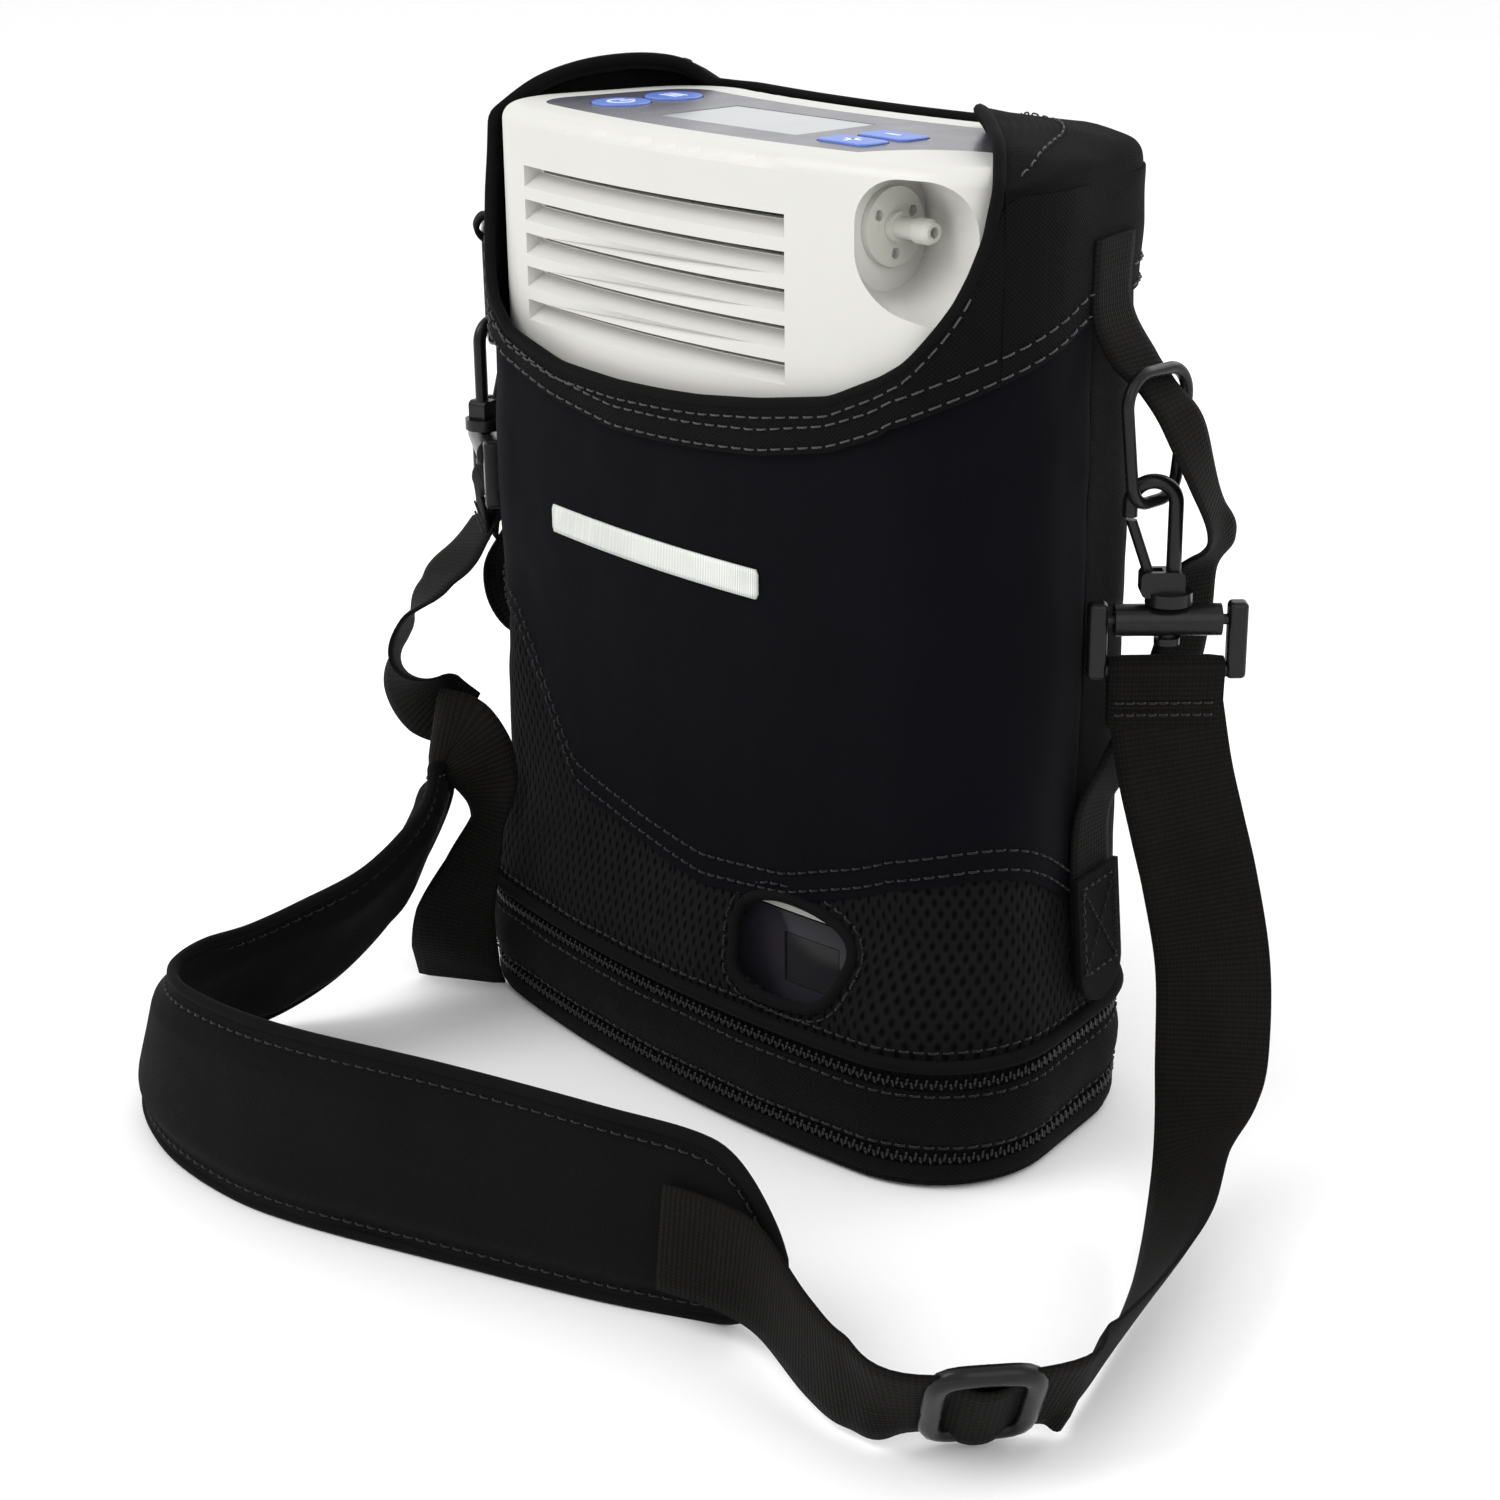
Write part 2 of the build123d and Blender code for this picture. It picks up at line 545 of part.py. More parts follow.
# plan directions of each ring's width, each hook's width and each crossbar
RING_TURN = {"left": (0.839, -0.545), "right": (-0.05, 0.999)}
HOOK_TURN = {"left": (0.191, -0.982), "right": (0.656, 0.755)}
FRAME_TURN = {"left": (0.863, -0.506), "right": (0.656, 0.755)}


def hook_origin(side):
    """Where the swivel's axis crosses the crossbar: the ring's lower limb lies in the hook's bend."""
    x, y, z = RING_CENTRE[side]
    turn = HOOK_TURN[side]
    low_limb = z - RING_HEIGHT / 2
    return (x + HOOK_EYE * turn[0], y + HOOK_EYE * turn[1], low_limb - RING_IN_HOOK - HOOK_RISE)


def upright(origin, turn):
    return Plane(origin=origin, x_dir=(turn[0], turn[1], 0), z_dir=(0, 0, 1)).location


def ring_solid(side):
    """A ring of round bar, wide at its top and narrow where it carries the hook."""
    turn = RING_TURN[side]
    plane = Plane(origin=RING_CENTRE[side], x_dir=(turn[0], turn[1], 0), z_dir=(turn[1], -turn[0], 0))
    top, low = RING_TOP_WIDTH / 2, RING_LOW_WIDTH / 2
    half = RING_HEIGHT / 2
    outline = make_face(Polyline((-low, -half), (low, -half), (top, half), (-top, half), close=True))
    lower = outline.vertices().group_by(Axis.Y)[0]
    outline = fillet(lower, 6.0)
    outline = fillet(outline.vertices().group_by(Axis.Y)[-1], 7.0)
    path = plane * outline.wire()
    start = path.position_at(0)
    return sweep(Plane(origin=start, z_dir=path.tangent_at(0)) * Circle(RING_LIMB), path=path)


def frame_solid():
    """Barrel that the hook swivels in, with a loop below it for the webbing; origin on the barrel's axis."""
    arm = 4.7
    arm_x = (FRAME_WIDTH - arm) / 2
    solid = rod((-12.7, 0, 0), (12.7, 0, 0), BARREL_RADIUS)
    solid += rod((-arm_x, 0, 0), (arm_x, 0, 0), 1.3)
    for x in (-arm_x, arm_x):
        side = Pos(x, 0, (4.5 - FRAME_DROP - 2) / 2) * Box(arm, 4.8, FRAME_DROP + 6.5)
        solid += fillet(side.edges(), 1.2)
    solid += rod((-arm_x, 0, -FRAME_DROP), (arm_x, 0, -FRAME_DROP), 1.9)
    return solid - rod((0, 0, -6), (0, 0, 6), SWIVEL_RADIUS + RUNNING)


GATE_PIVOT = (-4.6, 0, 10.4)
GATE_LIMB = 1.3
NOSE_LENGTH = 3.0
GATE_GAP = 0.8


def hook_solid():
    """Swivel pin, collar, back limb, bend and nose, with a forked foot for the gate."""
    back_x = HOOK_BEND - HOOK_EYE
    nose_x = -HOOK_BEND - HOOK_EYE
    path = Wire(
        [
            Edge.make_line((back_x, 0, 7), (back_x, 0, HOOK_RISE)),
            ThreePointArc(
                (back_x, 0, HOOK_RISE), (-HOOK_EYE, 0, HOOK_RISE + HOOK_BEND), (nose_x, 0, HOOK_RISE)
            ).edge(),
            Edge.make_line((nose_x, 0, HOOK_RISE), (nose_x, 0, HOOK_RISE - NOSE_LENGTH)),
        ]
    )
    solid = sweep(Plane(origin=(back_x, 0, 7), z_dir=(0, 0, 1)) * Circle(HOOK_LIMB), path=path)
    collar = BARREL_RADIUS + GAP
    solid += rod((0, 0, collar), (0, 0, collar + 3), 5.6)
    foot = box((-7.0, -3.0, collar + 2), (3.4, 3.0, 12.4))
    solid += fillet(foot.edges().filter_by(Axis.Y), 1.5)
    solid += rod((0, 0, -collar - 0.5), (0, 0, collar + 0.5), SWIVEL_RADIUS)
    solid += rod((0, 0, -collar - 1.6), (0, 0, -collar), 3.1)
    solid -= box((-8, -1.6, 8.2), (-1.6, 1.6, 13))
    gate_x, gate_z = GATE_PIVOT[0], GATE_PIVOT[2]
    return solid + rod((gate_x, -2.9, gate_z), (gate_x, 2.9, gate_z), 0.7)


def gate_solid():
    """Spring gate from its pivot up to the hook's nose."""
    gate_x, gate_z = GATE_PIVOT[0], GATE_PIVOT[2]
    nose_low = HOOK_RISE - NOSE_LENGTH - GATE_GAP
    solid = rod(GATE_PIVOT, (-HOOK_BEND - HOOK_EYE, 0, nose_low + 1), GATE_LIMB)
    solid += rod((gate_x, -1.3, gate_z), (gate_x, 1.3, gate_z), 1.7)
    solid -= rod((gate_x, -4, gate_z), (gate_x, 4, gate_z), 0.7 + RUNNING)
    return solid - box((-16, -4, nose_low), (0, 4, nose_low + 6))


for side in SIDES:
    save("ring_" + side, ring_solid(side))
    save("strap_frame_" + side, upright(hook_origin(side), FRAME_TURN[side]) * frame_solid())
    save("hook_" + side, upright(hook_origin(side), HOOK_TURN[side]) * hook_solid())
    save("hook_gate_" + side, upright(hook_origin(side), HOOK_TURN[side]) * gate_solid())


# ---- webbing --------------------------------------------------------------------------
def end_loop(side):
    """The webbing's end sewn round the bar of its frame, with 8 mm of doubled webbing below."""
    x, y, z = hook_origin(side)
    turn = FRAME_TURN[side]
    plane = Plane(origin=(x, y, z - FRAME_DROP), x_dir=(turn[1], -turn[0], 0), z_dir=(turn[0], turn[1], 0))
    inside = 1.9 + GAP
    outside = inside + WEBBING_THICK
    section = Circle(outside) + Pos(0, outside) * Rectangle(2 * WEBBING_THICK, 2 * outside)
    return plane * extrude(section - Circle(inside), WEBBING / 2, both=True)


GLIDE_LEAN = (0.444, -0.314, 0.84)  # the webbing leans outwards where the slider rests on the floor
RIGHT_MIDDLES = [
    (110.5, 22.4, 120), (115, 21.5, 105), (119.5, 21.5, 92), (124, 22, 78), (129, 22, 59),
    (133.5, 18, 42), (138, 9, 29), (145, -8, 19), (158, -32, 15), (172, -56, 13.6),
    (184, -79, 14.8), (186.9, -93.8, 15.8), (168.5, -119.8, 15.8), (154, -123.5, 16), (140, -121.5, 17),
    (119, -116.4, 21), (100, -119.4, 23.5), (81, -128.4, 24.5),
]
RIGHT_ACROSS = [
    (0.656, 0.755, 0), (0.66, 0.75, 0), (0.67, 0.74, 0), (0.69, 0.72, 0.05), (0.72, 0.66, 0.2),
    (0.7, 0.5, 0.5), (0.55, 0.3, 0.78), (0.4, 0.0, 0.92), (0.42, -0.2, 0.88), (0.44, -0.35, 0.82),
    (0.45, -0.35, 0.82), GLIDE_LEAN, GLIDE_LEAN, (0.25, -0.2, 0.95), (0.1, -0.1, 0.99),
    (0, 0, 1), (0, 0, 1), (0, 0, 1),
]
right_webbing = strap(RIGHT_MIDDLES, RIGHT_ACROSS, [WEBBING] * len(RIGHT_MIDDLES), WEBBING_THICK)
save("strap_right", right_webbing + end_loop("right"))

LEFT_MIDDLES = [
    (-105.5, -19.5, 132), (-105.5, -28, 124), (-106, -38, 116), (-107.5, -47, 107),
    (-108.5, -51, 97), (-107, -49, 88), (-103, -43, 81), (-98, -36, 76),
]
LEFT_ACROSS = [
    (0.863, -0.506, 0), (0.7, -0.65, -0.25), (0.5, -0.75, -0.4), (0.45, -0.8, -0.35),
    (0.7, -0.6, 0.1), (0.85, -0.1, 0.4), (0.6, 0.4, 0.65), (0.4, 0.5, 0.75),
]
left_webbing = strap(LEFT_MIDDLES, LEFT_ACROSS, [WEBBING] * len(LEFT_MIDDLES), WEBBING_THICK)
save("strap_left", left_webbing + end_loop("left"))

TAIL_MIDDLES = [
    (-91, -46.5, 0.9), (-86.5, -51.5, 12), (-84, -52.4, 24), (-80, -49, 39), (-77.5, -45, 53),
    (-78.5, -43.5, 63), (-81.5, -44.5, 71), (-86.2, -46, 76.5), (-91, -49, 78),
]
TAIL_ACROSS = [
    (0.8, 0.6, 0), (0.66, 0.66, -0.3), (0.65, 0.69, -0.3), (0.72, 0.6, -0.1), (0.8, 0.35, 0.3),
    (0.45, 0.5, 0.65), (0.2, 0.5, 0.85), (0, 0.4, 0.92), (-0.05, 0.37, 0.92),
]
TAIL_WIDTHS = [26, 26, 23, 16, 11, 18, 22, 23, 23]
save("strap_tail", strap(TAIL_MIDDLES, TAIL_ACROSS, TAIL_WIDTHS, WEBBING_THICK))

PAD_EDGES = [
    ((119, -109, 6), (119, -110, 38)),
    ((100, -112, 1.5), (100, -113, 46)),
    ((74, -126, 1.5), (73, -124, 48)),
    ((37, -142, 1.5), (36, -140, 50)),
    ((-2, -158, 1.5), (-2, -155, 50)),
    ((-27, -164, 1.5), (-27, -160, 49)),
    ((-55, -164, 2), (-50, -160, 48)),
    ((-80, -156, 3), (-66, -152, 46)),
    ((-97, -141, 4), (-74, -139, 45)),
    ((-103, -124, 4), (-76, -124, 44)),
    ((-100, -106, 5), (-74, -109, 47)),
    ((-93, -89, 14), (-68, -92, 54)),
    ((-91, -72, 26), (-69, -75, 63)),
    ((-93, -61, 36), (-76, -64, 68)),
    ((-93, -53, 46), (-87, -61, 67)),
]
save("shoulder_pad", ribbon(PAD_EDGES, PAD_THICK))

# three-bar slider: the end bars lie outside the webbing and the middle bar inside it
GLIDE_LENGTH = 25.0
glide_start, glide_end = Vector(*RIGHT_MIDDLES[11]), Vector(*RIGHT_MIDDLES[12])
glide_plane = Plane(origin=(glide_start + glide_end) * 0.5, x_dir=glide_end - glide_start, z_dir=GLIDE_LEAN)
rail_low = WEBBING / 2 + GAP
glide = None
for side in (-1, 1):
    rail = Pos(0, 0, side * (rail_low + 0.8)) * Box(GLIDE_LENGTH, 7.0, 1.6)
    end_bar = Pos(side * (GLIDE_LENGTH / 2 - 2), 2.6, 0) * Box(4, 1.8, 2 * rail_low + 0.4)
    glide = rail + end_bar if glide is None else glide + rail + end_bar
glide += Pos(0, -2.4, 0) * Box(5, 1.8, 2 * rail_low + 0.4)
save("strap_slider", glide_plane.location * glide)

# webbing sewn to the bag's flat ends
SPREAD = half_spread(BAG_WIDTH, BAG_DEPTH, BAG_CORNER)
END_LEFT = (sin(SPREAD), cos(SPREAD), 0)  # along the left end, towards the back
END_RIGHT = (-sin(SPREAD), cos(SPREAD), 0)
TAB_THICK = 1.6


def on_end(side, y, z, out):
    """A point off the bag's flat end, at a distance outwards from it."""
    x = (ARC_RADIUS - y) * tan(SPREAD) + out / cos(SPREAD)
    return (x if side == "right" else -x, y, z)


def sewn(stations):
    """A strap from (middle, width direction, width) stations."""
    middles, acrosses, widths = zip(*stations)
    return strap(middles, acrosses, widths, TAB_THICK)


SIDE_WAY = (0, 1, 0)
save(
    "side_strap_right",
    sewn(
        [
            (on_end("right", 18, 228, 1.1), END_RIGHT, 19),
            (on_end("right", 18, 214, 1.6), END_RIGHT, 19),
            ((98, 19, 203), SIDE_WAY, 15),
            ((107, 19, 197.5), SIDE_WAY, 13),
            ((113.5, 20.5, 190), SIDE_WAY, 14),
            ((117, 24.5, 177), (-0.3, 0.95, 0), 15),
            ((117.5, 29.5, 166), (-0.4, 0.92, 0), 14),
            ((114, 34, 158), (-0.1, 0.99, 0), 13),
            ((106.4, 35.5, 150), (0.2, 0.98, 0), 14),
            ((104.5, 35.5, 136), (0.2, 0.98, 0), 15),
            ((102, 31, 118), (0.1, 0.99, 0), 19),
            ((97, 24, 103), SIDE_WAY, 19),
            (on_end("right", 18, 90, 2.5), END_RIGHT, 19),
            (on_end("right", 17, 72, 1.6), END_RIGHT, 19),
            (on_end("right", 17, 42, 4.8), END_RIGHT, 19),
        ]
    ),
)
save(
    "side_strap_left",
    sewn(
        [
            (on_end("left", 10, 199, 1.1), END_LEFT, 19),
            (on_end("left", 10, 188, 1.6), END_LEFT, 19),
            ((-100, 7, 174), SIDE_WAY, 19),
            ((-102, 6, 158), SIDE_WAY, 19),
            ((-104.5, 5, 140), SIDE_WAY, 19),
            ((-112, 0, 125), SIDE_WAY, 19),
            ((-119, -3, 111), SIDE_WAY, 19),
            ((-115, -1, 97), SIDE_WAY, 19),
            (on_end("left", 8, 86, 3.5), END_LEFT, 19),
            (on_end("left", 8, 72, 1.6), END_LEFT, 19),
            (on_end("left", 8, 42, 4.8), END_LEFT, 19),
        ]
    ),
)
# the left ring hangs in a folded tab with both ends sewn to the yoke
RING_WAY = (*RING_TURN["left"], 0)
TAB_TWIST = (0.4, -0.9, 0)
TAB_END = (-END_LEFT[0], -END_LEFT[1], 0)
TAB_ROUND = RING_LIMB + TAB_THICK / 2 + 1.0


def round_limb(angle):
    """A point of the tab's path round the left ring's top limb, 0 being on the bag's side."""
    x, y, z = RING_CENTRE["left"]
    inward = TAB_ROUND * cos(radians(angle))
    return (
        x - inward * RING_TURN["left"][1],
        y + inward * RING_TURN["left"][0],
        z + RING_HEIGHT / 2 + TAB_ROUND * sin(radians(angle)),
    )


tab_stations = [(on_end("left", 0, 226, 1.1), TAB_END, 11), ((-101, -8, 218.5), TAB_TWIST, 9.5)]
tab_stations += [(round_limb(angle), RING_WAY, 9) for angle in (60, 120, 180, 240, 300)]
tab_stations += [((-101, -8, 207.5), TAB_TWIST, 9.5), (on_end("left", 0, 204, 1.1), TAB_END, 11)]
save("ring_tab_left", sewn(tab_stations))

os.makedirs("parts", exist_ok=True)
for name, shape in nodes.items():
    if isinstance(shape, (list, ShapeList)):
        shape = Compound(children=list(shape))
    export_step(shape, f"parts/{name}.step")
    print(name, len(shape.solids()), round(shape.volume, 1), round(shape.bounding_box().min.Z, 2))
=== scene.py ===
import bpy
import bmesh
import math
from bisect import bisect_left
from mathutils import Matrix, Vector, noise
from mathutils.bvhtree import BVHTree


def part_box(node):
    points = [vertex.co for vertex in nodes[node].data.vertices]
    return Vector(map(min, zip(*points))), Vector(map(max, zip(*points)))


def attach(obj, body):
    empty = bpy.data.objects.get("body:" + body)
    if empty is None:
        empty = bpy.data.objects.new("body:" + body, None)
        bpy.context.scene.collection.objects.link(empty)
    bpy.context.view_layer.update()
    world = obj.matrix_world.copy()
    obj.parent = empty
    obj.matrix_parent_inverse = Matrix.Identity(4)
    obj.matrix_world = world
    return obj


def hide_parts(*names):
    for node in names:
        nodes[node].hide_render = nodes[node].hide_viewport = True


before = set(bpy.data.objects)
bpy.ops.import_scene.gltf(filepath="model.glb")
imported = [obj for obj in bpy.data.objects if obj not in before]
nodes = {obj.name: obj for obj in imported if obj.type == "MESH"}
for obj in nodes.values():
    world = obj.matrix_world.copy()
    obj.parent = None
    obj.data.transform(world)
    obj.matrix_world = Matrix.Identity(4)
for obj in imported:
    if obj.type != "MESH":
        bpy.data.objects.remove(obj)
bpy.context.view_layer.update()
MM = 0.001
TEXTURE = 0.01  # texture units per millimetre


# ==== small helpers
def lerp(a, b, t):
    return a + (b - a) * t


def smooth(t):
    t = min(max(t, 0.0), 1.0)
    return t * t * (3 - 2 * t)


def rounded(t):
    """Width of a rounded end, as a share of the full width, from its tip at 0 to its root at 1."""
    return math.sqrt(max(1 - (1 - t) ** 2, 0.0)) if t < 1 else 1.0


def along(points, t):
    """Value at t on a list of (t, value) pairs, by straight lines between them."""
    if t <= points[0][0]:
        return points[0][1]
    for (a, p), (b, q) in zip(points, points[1:]):
        if t <= b:
            return lerp(p, q, (t - a) / (b - a))
    return points[-1][1]


def spline(points, per_span):
    """Points of a smooth curve through the given ones (Catmull-Rom)."""
    points = [Vector(p) for p in points]
    ends = [points[0] * 2 - points[1]] + points + [points[-1] * 2 - points[-2]]
    found = []
    for i in range(1, len(ends) - 2):
        a, b, c, d = ends[i - 1: i + 3]
        for k in range(per_span):
            t = k / per_span
            square = (2 * a - 5 * b + 4 * c - d) * t ** 2
            cube = (3 * b - a - 3 * c + d) * t ** 3
            found.append(0.5 * (2 * b + (c - a) * t + square + cube))
    return found + [points[-1]]


def reaches(points):
    """Distance along a path to each of its points."""
    found = [0.0]
    for a, b in zip(points, points[1:]):
        found.append(found[-1] + (b - a).length)
    return found


def span_at(lengths, want):
    """Number of the span of a path in which a length along it falls."""
    return min(bisect_left(lengths, want, 1) - 1, len(lengths) - 2)


def close_path(path):
    return path + [path[0]]


def resample(points, count):
    """The same path with points evenly spaced."""
    lengths = reaches(points)
    found = []
    for i in range(count):
        want = lengths[-1] * i / (count - 1)
        j = span_at(lengths, want)
        span = max(lengths[j + 1] - lengths[j], 1e-9)
        found.append(points[j].lerp(points[j + 1], (want - lengths[j]) / span))
    return found


def put(name, data):
    """A new object of the scene."""
    item = bpy.data.objects.new(name, data)
    bpy.context.scene.collection.objects.link(item)
    return item


def finish_piece(name, bm, material, body="root", replaces=()):
    """Turns a bmesh in millimetres into a piece of the model."""
    mesh = bpy.data.meshes.new(name)
    bmesh.ops.scale(bm, vec=(MM, MM, MM), verts=bm.verts)
    bm.to_mesh(mesh)
    bm.free()
    mesh.polygons.foreach_set("use_smooth", [True] * len(mesh.polygons))
    piece = put(name, mesh)
    mesh.materials.append(material)
    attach(piece, body)
    if replaces:
        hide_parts(*replaces)
    return piece


def thicken(piece, thickness, offset=-1.0, edge=0.0):
    """Gives a sheet its thickness, and softened edges where a width is given, all in millimetres."""
    solid = piece.modifiers.new("solid", "SOLIDIFY")
    solid.thickness, solid.offset = thickness * MM, offset
    if edge:
        bevel = piece.modifiers.new("bevel", "BEVEL")
        bevel.width, bevel.segments, bevel.limit_method = edge * MM, 2, "ANGLE"
    graph = bpy.context.evaluated_depsgraph_get()
    mesh = bpy.data.meshes.new_from_object(piece.evaluated_get(graph))
    old = piece.data
    piece.modifiers.clear()
    piece.data = mesh
    bpy.data.meshes.remove(old)


def carried(line, k):
    """A row's texture point, or the one past its end where the row closes on itself."""
    return line[k] if k else (line[-1][0] * 2 - line[-2][0], line[0][1])


def grid(bm, rows, uv_rows, closed=False):
    """Faces over rows of points, with texture coordinates given in millimetres."""
    layer = bm.loops.layers.uv.verify()
    made = [[bm.verts.new(p) for p in row] for row in rows]
    width = len(rows[0])
    for i in range(len(rows) - 1):
        for j in range(width if closed else width - 1):
            k = (j + 1) % width
            face = bm.faces.new((made[i][j], made[i][k], made[i + 1][k], made[i + 1][j]))
            low, high = uv_rows[i], uv_rows[i + 1]
            for loop, uv in zip(face.loops, (low[j], carried(low, k), carried(high, k), high[j])):
                loop[layer].uv = (uv[0] * TEXTURE, uv[1] * TEXTURE)
    return made


def capped(bm, rows, uv_rows):
    """A closed grid with a face over each end."""
    made = grid(bm, rows, uv_rows, True)
    bm.faces.new(list(reversed(made[0])))
    bm.faces.new(made[-1])


def tube(points, radius, sides=8, closed=False, flat=1.0):
    """A bmesh tube along points; flat squashes the section along its second direction."""
    bm = bmesh.new()
    count = len(points)
    side = None
    rings = []
    for i, point in enumerate(points):
        before = points[i - 1] if (i or closed) else point
        after = points[(i + 1) % count] if (i < count - 1 or closed) else point
        ahead = (after - before).normalized()
        if side is None:
            side = ahead.orthogonal().normalized()
        side = (side - ahead * side.dot(ahead)).normalized()
        up = ahead.cross(side)
        ring = []
        for k in range(sides):
            angle = 2 * math.pi * k / sides
            spot = point + side * math.cos(angle) * radius
            ring.append(bm.verts.new(spot + up * math.sin(angle) * radius * flat))
        rings.append(ring)
    for i in range(count if closed else count - 1):
        a, b = rings[i], rings[(i + 1) % count]
        offset = 0
        if closed and i == count - 1:
            offset = min(range(sides), key=lambda k: (a[0].co - b[k].co).length)
        for k in range(sides):
            m = (k + 1) % sides
            bm.faces.new((a[k], a[m], b[(m + offset) % sides], b[(k + offset) % sides]))
    if not closed:
        bm.faces.new(list(reversed(rings[0])))
        bm.faces.new(rings[-1])
    return bm


def merge(target, source):
    """Moves one bmesh into another."""
    mesh = bpy.data.meshes.new("part")
    source.to_mesh(mesh)
    source.free()
    target.from_mesh(mesh)
    bpy.data.meshes.remove(mesh)


def stitches(path, normals, pitch=3.6, length=2.4, radius=0.24):
    """A row of thread dashes lying along a path in millimetres."""
    bm = bmesh.new()
    lengths = reaches(path)
    count = max(int(lengths[-1] / pitch), 2)
    steps, dash_steps = 6, 4
    points = resample(path, count * steps + 1)
    for i in range(count):
        a = points[i * steps]
        b = points[i * steps + dash_steps]
        lift = normals[span_at(lengths, lengths[-1] * i / count)] * radius
        middle = (a + b) / 2 + lift * 1.6
        half = (b - a).normalized() * length / 2
        sunk = lift * 1.5
        dash = [middle - half - sunk, middle - half * 0.6, middle + half * 0.6, middle + half - sunk]
        merge(bm, tube(dash, radius, sides=5))
    return bm


# ==== materials
class Shader:
    """A node tree under construction, with short calls for the nodes that the materials share."""

    def __init__(self, name, colour, roughness, metallic=0.0, specular=0.5):
        self.material = bpy.data.materials.new(name)
        self.material.use_nodes = True
        self.tree = self.material.node_tree
        self.surface = self.tree.nodes["Principled BSDF"]
        self.set("Base Color", (*colour, 1.0))
        self.set("Roughness", roughness)
        self.set("Metallic", metallic)
        self.set("Specular IOR Level", specular)

    def set(self, socket, value):
        self.surface.inputs[socket].default_value = value

    def node(self, kind, **settings):
        made = self.tree.nodes.new(kind)
        for key, value in settings.items():
            setattr(made, key, value)
        return made

    def link(self, a, b):
        self.tree.links.new(a, b)

    def value(self, socket, source):
        if isinstance(source, (int, float)):
            socket.default_value = source
        else:
            self.link(source, socket)

    def math(self, operation, a, b=0.0):
        made = self.node("ShaderNodeMath", operation=operation)
        self.value(made.inputs[0], a)
        self.value(made.inputs[1], b)
        return made.outputs[0]

    def mix(self, a, share_a, b, share_b):
        return self.math("ADD", self.math("MULTIPLY", a, share_a), self.math("MULTIPLY", b, share_b))

    def coordinates(self, kind="Object"):
        return self.node("ShaderNodeTexCoord").outputs[kind]

    def axes(self, kind="Object"):
        split = self.node("ShaderNodeSeparateXYZ")
        self.link(self.coordinates(kind), split.inputs[0])
        return split.outputs

    def noise(self, scale, detail):
        made = self.node("ShaderNodeTexNoise")
        self.link(self.coordinates(), made.inputs["Vector"])
        made.inputs["Scale"].default_value = scale
        made.inputs["Detail"].default_value = detail
        made.inputs["Roughness"].default_value = 0.6
        return made.outputs["Fac"]

    def between(self, factor, low, high):
        """Maps a 0 to 1 factor to a range."""
        made = self.node("ShaderNodeMapRange")
        self.link(factor, made.inputs["Value"])
        made.inputs["To Min"].default_value = low
        made.inputs["To Max"].default_value = high
        return made.outputs["Result"]

    def colours(self, factor, *stops):
        ramp = self.node("ShaderNodeValToRGB")
        elements = ramp.color_ramp.elements
        while len(elements) < len(stops):
            elements.new(0.5)
        for element, (place, colour) in zip(elements, stops):
            element.position = place
            element.color = (*colour, 1.0)
        self.link(factor, ramp.inputs[0])
        self.link(ramp.outputs[0], self.surface.inputs["Base Color"])

    def roughness(self, factor, low, high):
        self.link(self.between(factor, low, high), self.surface.inputs["Roughness"])

    def bump(self, height, distance, strength=1.0):
        made = self.node("ShaderNodeBump")
        made.inputs["Distance"].default_value = distance
        made.inputs["Strength"].default_value = strength
        previous = self.surface.inputs["Normal"]
        if previous.is_linked:
            self.link(previous.links[0].from_socket, made.inputs["Normal"])
        self.link(height, made.inputs["Height"])
        self.link(made.outputs[0], previous)

    def ripple(self, coordinate, pitch):
        """A 0 to 1 wave with the given pitch, in the coordinate's own unit."""
        wave = self.math("SINE", self.math("MULTIPLY", coordinate, 2 * math.pi / pitch))
        return self.math("ADD", self.math("MULTIPLY", wave, 0.5), 0.5)


def scaled(colour, factor):
    return tuple(min(c * factor, 1.0) for c in colour)


def plastic(name, colour, roughness, grain=900.0, depth=0.00003, variation=0.3, specular=0.5):
    shader = Shader(name, colour, roughness, specular=specular)
    dark, light = scaled(colour, 1 - variation), scaled(colour, 1 + variation)
    shader.colours(shader.noise(22.0, 5.0), (0.3, dark), (0.7, light))
    shader.roughness(shader.noise(60.0, 6.0), max(roughness - 0.08, 0.03), roughness + 0.1)
    shader.bump(shader.noise(grain, 3.0), depth)
    return shader.material


def metal(name, colour, roughness):
    shader = Shader(name, colour, roughness, metallic=1.0)
    shader.colours(shader.noise(40.0, 6.0), (0.3, scaled(colour, 0.8)), (0.75, scaled(colour, 1.1)))
    shader.roughness(shader.noise(300.0, 4.0), roughness - 0.1, roughness + 0.12)
    shader.bump(shader.noise(700.0, 2.0), 0.00003)
    return shader.material


